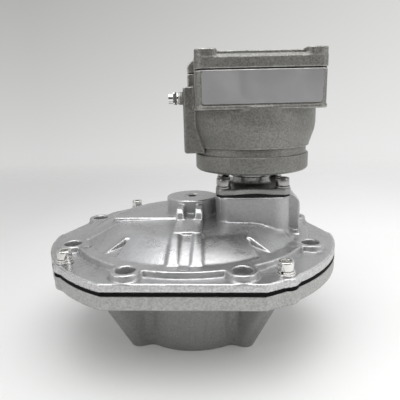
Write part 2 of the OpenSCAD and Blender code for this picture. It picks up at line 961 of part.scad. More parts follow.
module lid_seal() {
    color("black")
    at_head()
        translate([0, 0, seal_z])
            linear_extrude(seal_t)
                difference() {
                    round_rect(box_w - 0.8, box_d - 0.8, corner_r);
                    difference() {
                        round_rect(box_w - 2*box_wall, box_d - 2*box_wall, 4);
                        for (x = [-1, 1], y = [-1, 1])
                            translate([x*lid_screw_x, y*lid_screw_y])
                                circle(7.2);
                    }
                    for (x = [-1, 1], y = [-1, 1])
                        translate([x*lid_screw_x, y*lid_screw_y])
                            circle(m5/2 + 0.2);
                }
}

// Lid with a bevelled deck, a raised middle and four corner posts
module enclosure_lid() {
    deck_h = lid_h - 3.6;
    bevel = 2.2;
    post_w = 15;
    color("darkgray")
    at_head()
        difference() {
            union() {
                difference() {
                    translate([0, 0, lid_z])
                        linear_extrude(deck_h)
                            enclosure_plan();
                    for (a = [0, 180])
                        rotate([0, 0, a]) {
                            translate([0, -box_d/2, lid_z + deck_h])
                                rotate([45, 0, 0])
                                    cube([box_w, bevel*sqrt(2), bevel*sqrt(2)], center = true);
                            translate([-box_w/2, 0, lid_z + deck_h])
                                rotate([0, 45, 0])
                                    cube([bevel*sqrt(2), box_d, bevel*sqrt(2)], center = true);
                        }
                }
                translate([0, 0, lid_z])
                    linear_extrude(lid_h - 0.8)
                        round_rect(box_w - 18, box_d - 18, 4);
                intersection() {
                    translate([0, 0, lid_z])
                        linear_extrude(lid_h)
                            enclosure_plan();
                    for (x = [-1, 1], y = [-1, 1])
                        translate([x*(box_w - post_w)/2, y*(box_d - post_w)/2, lid_z])
                            linear_extrude(lid_h)
                                round_rect(post_w, post_w, 4);
                }
                difference() {
                    side_pad(lid_z, 9.3);
                    translate([-box_w/2 - side_pad_t, 0, lid_z + 9.3])
                        rotate([0, 45, 0])
                            cube([6, side_pad_w + 2*past, 6], center = true);
                }
            }
            translate([0, 0, lid_z - past])
                linear_extrude(lid_h - 4)
                    round_rect(box_w - 30, box_d - 30, 4);
            for (x = [-1, 1], y = [-1, 1])
                translate([x*lid_screw_x, y*lid_screw_y, lid_z - past]) {
                    cylinder(d = m5 + 0.5, h = lid_h + 2*past);
                    translate([0, 0, lid_h - 5 + past])
                        cylinder(d = 9.6, h = 6 + past);
                }
        }
}

module lid_screws() {
    color("white")
    at_head()
        for (x = [-1, 1], y = [-1, 1])
            translate([x*lid_screw_x, y*lid_screw_y, lid_z + lid_h - 5])
                socket_screw(m5, 8.5, 4.6, 4, lid_h - 5 + seal_t + 11);
}

// Bare plate on the front of the box
module label_plate() {
    color("whitesmoke")
    at_head()
        translate([0, -box_d/2, box_z + 3 + (box_h - 3)/2])
            rotate([90, 0, 0])
                linear_extrude(label_t)
                    round_rect(box_w - 2*label_edge, box_h - label_edge, label_edge/2);
}

module coil_bobbin() {
    color("ivory")
    at_head() {
        ring(bobbin_r, tube_out_r + 0.4, coil_z, coil_h);
        ring(winding_r + bobbin_t, tube_out_r + 0.4, coil_z, bobbin_t);
        ring(winding_r + bobbin_t, tube_out_r + 0.4, coil_z + coil_h - bobbin_t, bobbin_t);
    }
}

module coil_winding() {
    color("peru")
    at_head()
        ring(winding_r, bobbin_r, coil_z + bobbin_t, coil_h - 2*bobbin_t);
}

// Steel frame round the coil that closes the magnetic circuit
module coil_yoke() {
    yoke_w = 54;
    yoke_d = 42;
    color("slategray")
    at_head()
        difference() {
            translate([-yoke_w/2, -yoke_d/2, coil_z - frame_t])
                cube([yoke_w, yoke_d, coil_h + 2*frame_t]);
            translate([-yoke_w/2 + frame_t, -yoke_d, coil_z])
                cube([yoke_w - 2*frame_t, 2*yoke_d, coil_h]);
            translate([0, 0, coil_z - frame_t - past])
                cylinder(r = tube_out_r + 0.3, h = coil_h + 2*frame_t + 2*past);
        }
}

module terminal_block() {
    top = coil_z + coil_h + frame_t;
    color("dimgray")
    at_head()
        difference() {
            translate([-16, 14.5, top])
                cube([32, 6.5, 9]);
            for (i = [-1:1])
                translate([i*10, 17.75, top + 3])
                    cylinder(d = 3.1, h = 8);
        }
}

module terminal_screws() {
    top = coil_z + coil_h + frame_t + 9;
    color("gold")
    at_head()
        for (i = [-1:1])
            translate([i*10, 17.75, top])
                difference() {
                    union() {
                        cylinder(d = 5.4, h = 1.8);
                        translate([0, 0, -5])
                            cylinder(d = 3, h = 5);
                    }
                    translate([-3, -0.4, 1])
                        cube([6, 0.8, 2]);
                }
}

module earth_clamp() {
    color("gainsboro")
    at_head()
        translate([-hub_x - 3.4, earth_y, earth_z])
            rotate([0, -90, 0])
                difference() {
                    union() {
                        cylinder(r = 4.4, h = 1);
                        translate([0, 0, 1])
                            linear_extrude(2.8)
                                round_rect(9, 8.4, 1.5);
                    }
                    translate([0, 0, -past])
                        cylinder(d = m4 + 0.3, h = 6);
                    translate([-6, -4.2, 1.2])
                        cube([12, 1.8, 1.4]);
                }
}

module earth_screw() {
    color("white")
    at_head()
        translate([-hub_x - 3.4 - 3.8, earth_y, earth_z])
            rotate([0, -90, 0])
                difference() {
                    union() {
                        cylinder(d = 8, h = 3.4);
                        translate([0, 0, -12])
                            cylinder(d = m4, h = 12);
                    }
                    translate([-5, -0.6, 2.2])
                        cube([10, 1.2, 3]);
                }
}

valve_body();
outlet_o_ring();
main_diaphragm();
lower_plate();
upper_plate();
centre_bolt();
centre_nut();
main_spring();
cover();
cover_screws();
cover_spring_washers();
cover_washers();
cover_plug();
pilot_gasket();
pilot_bonnet();
bonnet_screws();
bonnet_washers();
pilot_seat();
core_tube();
fixed_core();
core();
core_seal();
core_spring();
retaining_nut();
enclosure_base();
enclosure_housing();
enclosure_lid();
lid_seal();
lid_screws();
label_plate();
coil_bobbin();
coil_winding();
coil_yoke();
terminal_block();
terminal_screws();
earth_clamp();
earth_screw();
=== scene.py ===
"""Pulse valve for dust collectors: castings, fasteners, finishes and the studio stage.

Every casting is a closed skin round a distance field. The field is a list of plain forms that
are blended together or carved out of each other, so each inner corner gets a cast fillet.
Lengths in the working code are millimetres and become metres when a mesh is made.
"""
import json
import math

import bpy
import mathutils
import numpy as np
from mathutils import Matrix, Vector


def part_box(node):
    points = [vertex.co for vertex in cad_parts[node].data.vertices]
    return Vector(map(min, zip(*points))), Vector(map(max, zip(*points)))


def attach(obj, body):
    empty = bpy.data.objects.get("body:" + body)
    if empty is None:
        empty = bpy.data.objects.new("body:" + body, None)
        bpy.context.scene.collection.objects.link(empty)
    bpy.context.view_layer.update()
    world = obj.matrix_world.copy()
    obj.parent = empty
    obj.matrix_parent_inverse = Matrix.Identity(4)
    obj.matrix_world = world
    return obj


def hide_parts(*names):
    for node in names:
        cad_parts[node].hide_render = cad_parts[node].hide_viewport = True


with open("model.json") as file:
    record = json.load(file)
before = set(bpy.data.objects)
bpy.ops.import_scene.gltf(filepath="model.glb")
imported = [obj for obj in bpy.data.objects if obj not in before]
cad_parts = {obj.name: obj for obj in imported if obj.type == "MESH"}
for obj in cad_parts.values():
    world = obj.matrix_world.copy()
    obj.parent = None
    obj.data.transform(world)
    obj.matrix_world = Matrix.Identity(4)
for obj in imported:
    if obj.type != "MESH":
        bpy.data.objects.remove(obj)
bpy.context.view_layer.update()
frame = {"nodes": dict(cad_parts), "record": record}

bl_info = {
    "name": "Pulse valve",
    "version": (1, 0, 0),
    "blender": (4, 5, 0),
    "location": "View3D > Sidebar > Pulse valve",
    "description": "Builds the castings, fasteners and finishes of a dust collector pulse valve",
    "category": "Mesh",
}

TURN = 2*math.pi


def node_level(node, corner):
    """Lower (0) or upper (1) level of a node's box at rest, in millimetres."""
    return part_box(node)[corner][2]*1000


# Levels of the stack in millimetres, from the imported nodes
FLANGE_UNDER = 59.5
FLANGE_TOP = node_level("main_diaphragm", 0)
COVER_UNDER = node_level("pilot_gasket", 0) - 42.9
COVER_TOP = COVER_UNDER + 5.8
PAD_TOP = COVER_TOP + 4.6
PEDESTAL_TOP = node_level("pilot_gasket", 0)
BASE_UNDER = node_level("enclosure_base", 0)
DRUM_UNDER = BASE_UNDER + 18.3
BOX_UNDER = DRUM_UNDER + 28
LID_UNDER = node_level("enclosure_lid", 0)
LID_TOP = node_level("enclosure_lid", 1)

# Places and sizes in plan, in millimetres: the pilot's axis, the turn of the enclosure, the circles of the
# mounting bolts and the cover's screws, the flange and its two flats, the enclosure's box (half width,
# half depth, corner radius) and the screws of its lid
PILOT_X = 48.5
HEAD_TURN = math.radians(5)
BOLT_R = 97.5
SCREW_R = 108
SCREW_ANGLES = [37 + 90*i for i in range(4)]
FLANGE_R = 114.3
FLANGE_FLAT = 102
WASHER_H = 1.6
BOX = (45, 47.5, 6)
LID_SCREWS = [(sx*37.5, sy*40) for sx in (-1, 1) for sy in (-1, 1)]


# ------------------------------------------------------------------ distance fields

def rod(x, y, cx, cy, r):
    """Distance to a circle in plan: length from the centre less the radius."""
    return np.hypot(x - cx, y - cy) - r


def oblong(x, y, half_w, half_d, r):
    """Distance to a rectangle with round corners: outside part by length, inside part by the nearer side."""
    ax = np.abs(x) - half_w + r
    ay = np.abs(y) - half_d + r
    return np.hypot(np.maximum(ax, 0), np.maximum(ay, 0)) + np.minimum(np.maximum(ax, ay), 0) - r


def outline(u, v, points):
    """Distance to a polygon: to the nearest edge, negative where a ray crosses an odd number of edges."""
    u, v = np.broadcast_arrays(u, v)
    nearest = np.full(u.shape, 1e9, np.float32)
    inside = np.zeros(u.shape, bool)
    for (u0, v0), (u1, v1) in zip(points, points[1:] + points[:1]):
        du, dv = u1 - u0, v1 - v0
        t = np.clip(((u - u0)*du + (v - v0)*dv)/(du*du + dv*dv), 0, 1)
        nearest = np.minimum(nearest, (u - u0 - t*du)**2 + (v - v0 - t*dv)**2)
        if dv:
            inside ^= ((v0 > v) != (v1 > v)) & (u < u0 + (v - v0)*du/dv)
    return np.where(inside, -1, 1)*np.sqrt(nearest)


def prism(plan, w, w0, w1, edge):
    """Plan distance raised from w0 to w1, its rims rounded: the rounded corner of two half-spaces."""
    a = plan + edge
    b = np.abs(w - (w0 + w1)/2) - (w1 - w0)/2 + edge
    return np.minimum(np.maximum(a, b), 0) + np.hypot(np.maximum(a, 0), np.maximum(b, 0)) - edge


def blend(a, b, width):
    """Smaller of two fields, with a parabola of the given width across the corner between them."""
    if width <= 0:
        return np.minimum(a, b)
    h = np.clip(0.5 + 0.5*(b - a)/width, 0, 1)
    return b + (a - b)*h - width*h*(1 - h)


class Casting:
    """A list of forms, each with the box it lies in, that are joined to or carved from a field."""

    def __init__(self, low, high):
        self.low = np.array(low, float)
        self.high = np.array(high, float)
        self.steps = []

    def join(self, form, low, high, width=0.0):
        """Add a form that lies in the given box, with a fillet of the given width."""
        self.steps.append((1, form, np.array(low, float), np.array(high, float), width))

    def carve(self, form, low, high, width=0.3):
        """Take a form away, with a rounded rim of the given width."""
        self.steps.append((-1, form, np.array(low, float), np.array(high, float), width))

    def combine(self, field, form_field, sign, width):
        """Joined fields are the blended smaller one; a carved form is joined to the field's outside."""
        if sign > 0:
            return blend(field, form_field, width)
        return -blend(-field, form_field, width)

    def at(self, p):
        """Field at scattered points: each form acts only on the points inside its own box."""
        field = np.full(len(p), 6.0)
        for sign, form, low, high, width in self.steps:
            reach = width + 3
            near = np.all((p > low - reach) & (p < high + reach), axis=1)
            if near.any():
                q = p[near]
                field[near] = self.combine(field[near], form(q[:, 0], q[:, 1], q[:, 2]), sign, width)
        return field

    def grid(self, step):
        """Field on a grid of the given step, one slice of the grid for each form."""
        axes = [np.arange(a - 2.5*step, b + 2.5*step, step) for a, b in zip(self.low, self.high)]
        field = np.full([len(a) for a in axes], 6.0, np.float32)
        for sign, form, low, high, width in self.steps:
            reach = width + 3
            cut = []
            for a, lo, hi in zip(axes, low, high):
                i, j = np.searchsorted(a, [lo - reach, hi + reach])
                cut.append(slice(i, j))
            if all(c.stop > c.start for c in cut):
                x, y, z = np.meshgrid(*[a[c].astype(np.float32) for a, c in zip(axes, cut)],
                                      indexing="ij", sparse=True)
                part = form(x, y, z)
                field[tuple(cut)] = self.combine(field[tuple(cut)], part, sign, width)
        return axes, field


CORNERS = np.array([[i, j, k] for i in (0, 1) for j in (0, 1) for k in (0, 1)])
CELL_EDGES = np.array([(a, b) for a in range(8) for b in range(a + 1, 8)
                       if np.abs(CORNERS[a] - CORNERS[b]).sum() == 1])


def skin(casting, step, rounds=3):
    """Closed quad skin of a field.

    One point lies in each grid cell that the surface crosses, at the mean of the crossings on
    the cell's edges. Four cells round each crossed grid edge share a quad. Then the points are
    evened out along the surface and drawn back onto it along the field's slope.
    """
    axes, field = casting.grid(step)
    inside = field < 0
    shape = np.array(field.shape) - 1
    corner = [inside[c[0]:shape[0] + c[0], c[1]:shape[1] + c[1], c[2]:shape[2] + c[2]] for c in CORNERS]
    count = sum(c.astype(np.int8) for c in corner)
    cells = np.argwhere((count > 0) & (count < 8))
    number = np.full(shape, -1, np.int32)
    number[tuple(cells.T)] = np.arange(len(cells))
    value = np.stack([field[tuple((cells + c).T)] for c in CORNERS], 1)
    total = np.zeros((len(cells), 3))
    hits = np.zeros(len(cells))
    for a, b in CELL_EDGES:
        crossed = (value[:, a] < 0) != (value[:, b] < 0)
        t = value[crossed, a]/(value[crossed, a] - value[crossed, b])
        total[crossed] += CORNERS[a] + t[:, None]*(CORNERS[b] - CORNERS[a])
        hits[crossed] += 1
    origin = np.array([a[0] for a in axes])
    p = origin + (cells + total/hits[:, None])*step
    faces = []
    for axis in range(3):
        u, v = [(1, 2), (2, 0), (0, 1)][axis]
        lo = [slice(0, None)]*3
        hi = [slice(0, None)]*3
        lo[axis], hi[axis] = slice(0, -1), slice(1, None)
        change = inside[tuple(lo)] != inside[tuple(hi)]
        edge = np.argwhere(change)
        edge = edge[(edge[:, u] > 0) & (edge[:, v] > 0) & (edge[:, u] < shape[u]) & (edge[:, v] < shape[v])]
        du, dv = np.zeros(3, int), np.zeros(3, int)
        du[u], dv[v] = 1, 1
        ring = [edge - du - dv, edge - dv, edge, edge - du]
        quad = np.stack([number[tuple(r.T)] for r in ring], 1)
        outward = inside[tuple(edge.T)]
        quad[~outward] = quad[~outward][:, ::-1]
        faces.append(quad)
    faces = np.concatenate(faces)
    faces = faces[(faces >= 0).all(1)]
    pairs = np.concatenate([faces[:, [0, 1]], faces[:, [1, 2]], faces[:, [2, 3]], faces[:, [3, 0]]])
    degree = np.bincount(pairs.ravel(), minlength=len(p)).astype(float)
    for turn in range(rounds):
        if turn:
            mean = neighbour_mean(p, pairs, degree)
            n = slope(casting, p)
            move = mean - p
            p += 0.5*(move - n*np.sum(move*n, 1)[:, None])
        for _ in range(2):
            f = casting.at(p)
            n = slope(casting, p)
            p -= np.clip(f, -0.5*step, 0.5*step)[:, None]*n
    n = slope(casting, p)
    bulge = -np.sum((neighbour_mean(p, pairs, degree) - p)*n, 1)/step
    for _ in range(2):
        bulge = 0.5*bulge + 0.5*neighbour_mean(bulge[:, None], pairs, degree)[:, 0]
    return p, faces, bulge


def neighbour_mean(values, pairs, degree):
    """Mean of each point's neighbours along the edges."""
    out = np.stack([np.bincount(pairs[:, 0], values[pairs[:, 1], i], len(values))
                    + np.bincount(pairs[:, 1], values[pairs[:, 0], i], len(values))
                    for i in range(values.shape[1])], 1)
    return out/degree[:, None]


def slope(casting, p, h=0.05):
    """Unit slope of the field by central differences."""
    g = np.stack([casting.at(p + d) - casting.at(p - d) for d in np.eye(3)*h], 1)
    return g/np.maximum(np.linalg.norm(g, axis=1), 1e-9)[:, None]


# ------------------------------------------------------------------ meshes

def head_place(p):
    """Points of the enclosure's own frame turned about the pilot's axis and moved to it."""
    c, s = math.cos(HEAD_TURN), math.sin(HEAD_TURN)
    return np.stack([PILOT_X + p[:, 0]*c - p[:, 1]*s, p[:, 0]*s + p[:, 1]*c, p[:, 2]], 1)


def make_piece(name, points, faces, slot, body, nodes, relief=None):
    """Mesh from whole arrays in millimetres, with its finish, its body and the nodes it stands for."""
    mesh = bpy.data.meshes.new(name)
    faces = np.asarray(faces, np.int32)
    mesh.vertices.add(len(points))
    mesh.vertices.foreach_set("co", (np.asarray(points)/1000).astype(np.float32).ravel())
    mesh.loops.add(faces.size)
    mesh.loops.foreach_set("vertex_index", faces.ravel())
    mesh.polygons.add(len(faces))
    mesh.polygons.foreach_set("loop_start", np.arange(0, faces.size, faces.shape[1], dtype=np.int32))
    mesh.polygons.foreach_set("use_smooth", np.full(len(faces), True))
    mesh.update(calc_edges=True)
    if relief is not None:
        layer = mesh.attributes.new("relief", "FLOAT", "POINT")
        layer.data.foreach_set("value", np.asarray(relief, np.float32))
    mesh.validate()
    piece = bpy.data.objects.new(name, mesh)
    bpy.context.scene.collection.objects.link(piece)
    mesh.materials.append(finish(slot))
    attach(piece, body)
    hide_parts(*nodes)
    return piece


def grid_faces(rows, columns, wrap_rows=False):
    """Quads of a grid of points whose columns close on themselves."""
    i = np.arange(rows if wrap_rows else rows - 1)[:, None]
    j = np.arange(columns)[None, :]
    k = (j + 1) % columns
    m = (i + 1) % rows
    return np.stack([i*columns + j, i*columns + k, m*columns + k, m*columns + j], -1).reshape(-1, 4)


def soften(profile, radius, parts=4):
    """Closed profile with each corner replaced by a parabola of the given reach."""
    pts = np.asarray(profile, float)
    out = []
    n = len(pts)
    for i in range(n):
        a, b, c = pts[i - 1], pts[i], pts[(i + 1) % n]
        la, lc = np.linalg.norm(a - b), np.linalg.norm(c - b)
        r = min(radius, 0.45*la, 0.45*lc)
        p0, p1 = b + (a - b)*r/la, b + (c - b)*r/lc
        t = np.linspace(0, 1, parts + 1)[:, None]
        out.append((1 - t)**2*p0 + 2*t*(1 - t)*b + t**2*p1)
    return np.concatenate(out)


def lathe(profile, count):
    """Closed profile (r, z) carried round the axis: x = r cos a, y = r sin a."""
    profile = np.asarray(profile, float)
    a = np.arange(count)*TURN/count
    r, z = profile[:, 0][:, None], profile[:, 1][:, None]
    points = np.stack([r*np.cos(a), r*np.sin(a), np.broadcast_to(z, (len(profile), count))], -1)
    return points.reshape(-1, 3), grid_faces(len(profile), count, wrap_rows=True)


def stacked(parts):
    """Several point and face arrays as one."""
    points, faces, start = [], [], 0
    for p, f in parts:
        points.append(p)
        faces.append(f + start)
        start += len(p)
    return np.concatenate(points), np.concatenate(faces)


def moved(part, place):
    """A copy of a part at a place (x, y, z), turned by an angle about Z first."""
    (p, f), (x, y, z, a) = part, place
    c, s = math.cos(a), math.sin(a)
    return np.stack([x + p[:, 0]*c - p[:, 1]*s, y + p[:, 0]*s + p[:, 1]*c, z + p[:, 2]], 1), f


def socket_screw(d, head_d, head_h, key, length, count=96):
    """Socket screw on Z with its head's seat at 0.

    Rings of points run from the shank's tip up over the head and down into the socket. The
    head's side is a circle, the socket a hexagon, r = key/2 / cos(a mod 60 degrees from its
    flat), and the shank carries a thread wave that climbs one pitch a turn.
    """
    a = np.arange(count)*TURN/count
    hexagon = key/2/np.cos((a + TURN/12) % (TURN/6) - TURN/12)
    rings = [(0*a, -length), (d/2 - 0.9 + 0*a, -length)]
    for z in np.linspace(-length + 0.7, -1.2, 40):
        rings.append((d/2 - 0.32 + 0.32*np.cos(a - z*TURN), z + 0*a))
    rings += [(d/2 + 0*a, -1.0), (d/2 + 0*a, 0.0), (head_d/2 - 0.35 + 0*a, 0.0), (head_d/2 - 0.09 + 0*a, 0.1)]
    rings += [(head_d/2 + 0*a, z) for z in (0.4, head_h - 0.9)]
    rings += [(head_d/2 + 0*a - 0.1, head_h - 0.5), (head_d/2 - 0.3 + 0*a, head_h - 0.16),
              (head_d/2 - 0.7 + 0*a, head_h)]
    rings += [(hexagon*0.3 + 0.7*(head_d/2 - 0.9), head_h), (hexagon + 0.12, head_h),
              (hexagon, head_h - 0.14)]
    rings += [(hexagon, z) for z in np.linspace(head_h - 0.5, head_h*0.4, 3)]
    rings += [(hexagon*0.97, head_h*0.4 - 0.05), (0.5 + 0*a, head_h*0.4 - 0.9), (0*a, head_h*0.4 - 0.95)]
    points = np.concatenate([np.stack([r*np.cos(a), r*np.sin(a), z + 0*a], 1) for r, z in rings])
    return points, grid_faces(len(rings), count)


def split_washer(outer, inner, height, count=96):
    """Spring washer: a rounded square section carried round 346 degrees while it climbs a little."""
    half = (outer - inner)/4
    mid = (outer + inner)/4
    section = soften([[mid - half, 0], [mid + half, 0], [mid + half, height], [mid - half, height]], 0.25, 3)
    t = np.linspace(0, 1, count)
    a = math.radians(7) + t*math.radians(346)
    climb = 0.24*(t - 0.5)
    z = section[:, 1][None, :]*0.84 + 0.08*height + climb[:, None]
    r = section[:, 0][None, :]
    points = np.stack([r*np.cos(a)[:, None], r*np.sin(a)[:, None], z], -1).reshape(-1, 3)
    k = len(section)
    faces = grid_faces(count, k)[:, ::-1]
    first = np.arange(k)
    caps = []
    for base, flip in ((0, True), ((count - 1)*k, False)):
        ring = base + (first if flip else first[::-1])
        near, far = ring[:k//2], ring[::-1][:k//2]
        caps.append(np.stack([near[:-1], near[1:], far[1:], far[:-1]], 1))
    return points, np.concatenate([faces, *caps])


# ------------------------------------------------------------------ finishes

class Tree:
    """Shader nodes of one finish. Every input takes a plain value or the output of another node."""

    def __init__(self, tree):
        self.nodes, self.links = tree.nodes, tree.links

    def feed(self, socket, value):
        """Link an output to an input, or set the input's plain value."""
        if hasattr(value, "is_output"):
            self.links.new(value, socket)
        else:
            socket.default_value = value

    def noise(self, vector, scale, detail, rough=0.55, distortion=0.0):
        """Cloudy noise at a number of grains a metre."""
        node = self.nodes.new("ShaderNodeTexNoise")
        for label, value in (("Vector", vector), ("Scale", scale), ("Detail", detail), ("Roughness", rough),
                             ("Distortion", distortion)):
            self.feed(node.inputs[label], value)
        return node.outputs["Fac"]

    def math(self, kind, a, b=0.0, clamp=False):
        node = self.nodes.new("ShaderNodeMath")
        node.operation = kind
        node.use_clamp = clamp
        self.feed(node.inputs[0], a)
        self.feed(node.inputs[1], b)
        return node.outputs[0]

    def times(self, a, b):
        return self.math("MULTIPLY", a, b)

    def plus(self, a, b):
        return self.math("ADD", a, b)

    def spread(self, value, low, high, out_low=0.0, out_high=1.0):
        """The value's range low to high carried to another range and held at its ends."""
        node = self.nodes.new("ShaderNodeMapRange")
        labels = ("Value", "From Min", "From Max", "To Min", "To Max")
        for label, number in zip(labels, (value, low, high, out_low, out_high)):
            self.feed(node.inputs[label], number)
        return node.outputs["Result"]

    def mix(self, factor, a, b):
        """Colour between a and b, each an output or three numbers."""
        node = self.nodes.new("ShaderNodeMix")
        node.data_type = "RGBA"
        for number, value in ((0, factor), (6, a), (7, b)):
            self.feed(node.inputs[number], (*value, 1) if isinstance(value, tuple) else value)
        return node.outputs[2]

    def coordinate(self, kind):
        """Texture coordinates of one kind, such as Object or Normal."""
        return self.nodes.new("ShaderNodeTexCoord").outputs[kind]

    def split(self, vector):
        """Outputs X, Y and Z of a vector."""
        node = self.nodes.new("ShaderNodeSeparateXYZ")
        self.links.new(vector, node.inputs[0])
        return node.outputs

    def group(self, name, **inputs):
        """Outputs of a node group with its inputs fed by name."""
        node = self.nodes.new("ShaderNodeGroup")
        node.node_tree = bpy.data.node_groups[name]
        for label, value in inputs.items():
            self.feed(node.inputs[label], value)
        return node.outputs

    def bump(self, shader, height, strength, depth):
        """Tilt a shader's normal by a height; the depth is in metres."""
        node = self.nodes.new("ShaderNodeBump")
        for label, value in (("Height", height), ("Strength", strength), ("Distance", depth)):
            self.feed(node.inputs[label], value)
        self.links.new(node.outputs[0], shader["Normal"])


def new_group(name, inputs, outputs):
    """An empty node group with a vector and floats as inputs: its tree, what enters and what leaves."""
    group = bpy.data.node_groups.new(name, "ShaderNodeTree")
    group.interface.new_socket("Vector", in_out="INPUT", socket_type="NodeSocketVector")
    for label in inputs:
        group.interface.new_socket(label, in_out="INPUT", socket_type="NodeSocketFloat")
    for label in outputs:
        group.interface.new_socket(label, in_out="OUTPUT", socket_type="NodeSocketFloat")
    t = Tree(group)
    return t, t.nodes.new("NodeGroupInput").outputs, t.nodes.new("NodeGroupOutput").inputs


def cast_grain_group():
    """Skin of a die casting: fine grit, wider orange peel and scattered small pits."""
    t, given, result = new_group("cast_grain", ["Grit", "Pits", "Flow", "Speck"],
                                 ["Height", "Tone", "Roughness"])
    v = given["Vector"]
    grit = t.noise(v, 1500, 3, 0.65)
    peel = t.noise(v, 330, 3, 0.5)
    flow = t.noise(v, 38, 4, 0.6, 1.2)
    cells = t.nodes.new("ShaderNodeTexVoronoi")
    cells.inputs["Scale"].default_value = 420
    t.feed(cells.inputs["Vector"], v)
    chance = t.spread(t.noise(v, 160, 2), 0.58, 0.64)
    pit = t.times(t.math("SUBTRACT", 1.0, t.spread(cells.outputs["Distance"], 0.05, 0.16)), chance)
    speck = t.times(t.spread(t.noise(v, 760, 2, 0.7), 0.36, 0.64, -0.5, 0.5), given["Speck"])
    height = t.plus(t.plus(t.times(grit, given["Grit"]), t.times(peel, 0.7)), speck)
    t.feed(result["Height"], t.math("SUBTRACT", height, t.times(pit, given["Pits"])))
    tone = t.plus(t.times(flow, given["Flow"]), t.times(peel, 0.3))
    t.feed(result["Tone"], t.plus(t.math("SUBTRACT", tone, t.times(pit, 0.4)), speck))
    t.feed(result["Roughness"], t.spread(flow, 0.3, 0.7, -0.06, 0.08))


def edge_tone_group():
    """Rims lighter for wear and a painted edge highlight, hollows darkened with painted shade, from the
    relief attribute: bright where it bulges, dark in a hollow.
    """
    t, given, result = new_group("edge_tone", ["Relief", "Wear"], ["Rim", "Hollow"])
    broken = t.noise(given["Vector"], 240, 4, 0.6)
    value = t.plus(given["Relief"], t.spread(broken, 0.3, 0.7, -0.05, 0.05))
    # Rims: worn metal plus a painted edge highlight where the surface bulges
    t.feed(result["Rim"], t.math("MULTIPLY", t.spread(value, 0.06, 0.24), given["Wear"], True))
    # Hollows: painted shade that darkens the creases
    t.feed(result["Hollow"], t.spread(value, -0.03, -0.16))


def turned_group():
    """Lathe or drawing marks: fine rings along the piece's Z, broken by a slow noise."""
    t, given, result = new_group("turned_marks", ["Fineness"], ["Height", "Tone"])
    along = t.times(t.split(given["Vector"])["Z"], given["Fineness"])
    wobble = t.noise(given["Vector"], 60, 2)
    ring = t.nodes.new("ShaderNodeTexNoise")
    ring.noise_dimensions = "1D"
    for label, value in (("Scale", 1.0), ("Detail", 2), ("W", t.plus(along, wobble))):
        t.feed(ring.inputs[label], value)
    t.feed(result["Height"], ring.outputs["Fac"])
    t.feed(result["Tone"], t.times(wobble, ring.outputs["Fac"]))


def start_material(name, metallic, roughness):
    """Material with a Principled shader: itself, its tree, the shader's inputs, the Object coordinates."""
    material = bpy.data.materials.new(name)
    material.use_nodes = True
    t = Tree(material.node_tree)
    t.nodes.clear()
    out = t.nodes.new("ShaderNodeOutputMaterial")
    shader = t.nodes.new("ShaderNodeBsdfPrincipled")
    t.feed(out.inputs["Surface"], shader.outputs[0])
    t.feed(shader.inputs["Metallic"], metallic)
    t.feed(shader.inputs["Roughness"], roughness)
    return material, t, shader.inputs, t.coordinate("Object")


def scaled(colour, factor, more=0.0):
    """A colour times a factor, held at white."""
    return tuple(min(1, c*factor + more) for c in colour)


def cast_material(name, colour, roughness, grit, pits, flow, wear_and_highlight, metallic=1.0, depth=0.00022, relief=True,
                  speck=0.15, rim=None, band=None, walls=0.0):
    """Casting finish: grain for height and tone, rims lighter (wear and a painted edge highlight) and
    smoother, hollows darker with painted shade.

    Walls is how much rougher and less metallic the upright faces are than the level ones; band is a range
    of heights whose upright faces carry coarse grit, as the sawn and blasted edge of a flange does.
    """
    material, t, shader, place = start_material(name, metallic, roughness)
    rim = rim or scaled(colour, 1.35, 0.06)
    upright = t.spread(t.math("ABSOLUTE", t.split(t.coordinate("Normal"))["Z"]), 0.62, 0.25)
    if band:
        z = t.split(place)["Z"]
        low = t.spread(z, band[0], band[0] + 0.0004)
        high = t.spread(z, band[1], band[1] - 0.0004)
        flange_edge = t.times(t.times(low, high), upright)
        speck = t.plus(t.times(flange_edge, 0.9), speck)
    grain = t.group("cast_grain", Vector=place, Grit=grit, Pits=pits, Flow=flow, Speck=speck)
    tone = t.mix(t.spread(grain["Tone"], 0.0, 0.75), scaled(colour, 0.66), scaled(colour, 1.24))
    rough = t.plus(grain["Roughness"], roughness)
    if band:
        tone = t.mix(t.times(flange_edge, 0.35), tone, rim)
    if walls:
        rough = t.plus(rough, t.times(upright, 0.45*walls))
        t.feed(shader["Metallic"], t.spread(upright, 0, 1, metallic, metallic - 0.3*walls))
    if relief:
        layer = t.nodes.new("ShaderNodeAttribute")
        layer.attribute_name = "relief"
        edge = t.group("edge_tone", Vector=place, Relief=layer.outputs["Fac"], Wear=wear_and_highlight)
        # Rims lightened for wear and as a painted edge highlight; hollows darkened with painted shade
        tone = t.mix(edge["Rim"], tone, rim)
        tone = t.mix(t.times(edge["Hollow"], 0.62), tone, scaled(colour, 0.34))
        rough = t.plus(rough, t.times(edge["Rim"], -0.12))
    t.feed(shader["Base Color"], tone)
    t.feed(shader["Roughness"], rough)
    t.bump(shader, grain["Height"], 0.6, depth)
    return material


def turned_material(name, colour, roughness):
    """Turned, drawn or plated metal: fine rings in height and tone."""
    material, t, shader, place = start_material(name, 1.0, roughness)
    marks = t.group("turned_marks", Vector=place, Fineness=2500.0)
    tone = t.spread(marks["Tone"], 0.1, 0.45)
    t.feed(shader["Base Color"], t.mix(tone, scaled(colour, 0.82), scaled(colour, 1.1)))
    slow = t.noise(place, 130, 3)
    t.feed(shader["Roughness"], t.spread(slow, 0.3, 0.7, roughness - 0.05, roughness + 0.07))
    t.bump(shader, marks["Height"], 0.35, 0.00002)
    return material


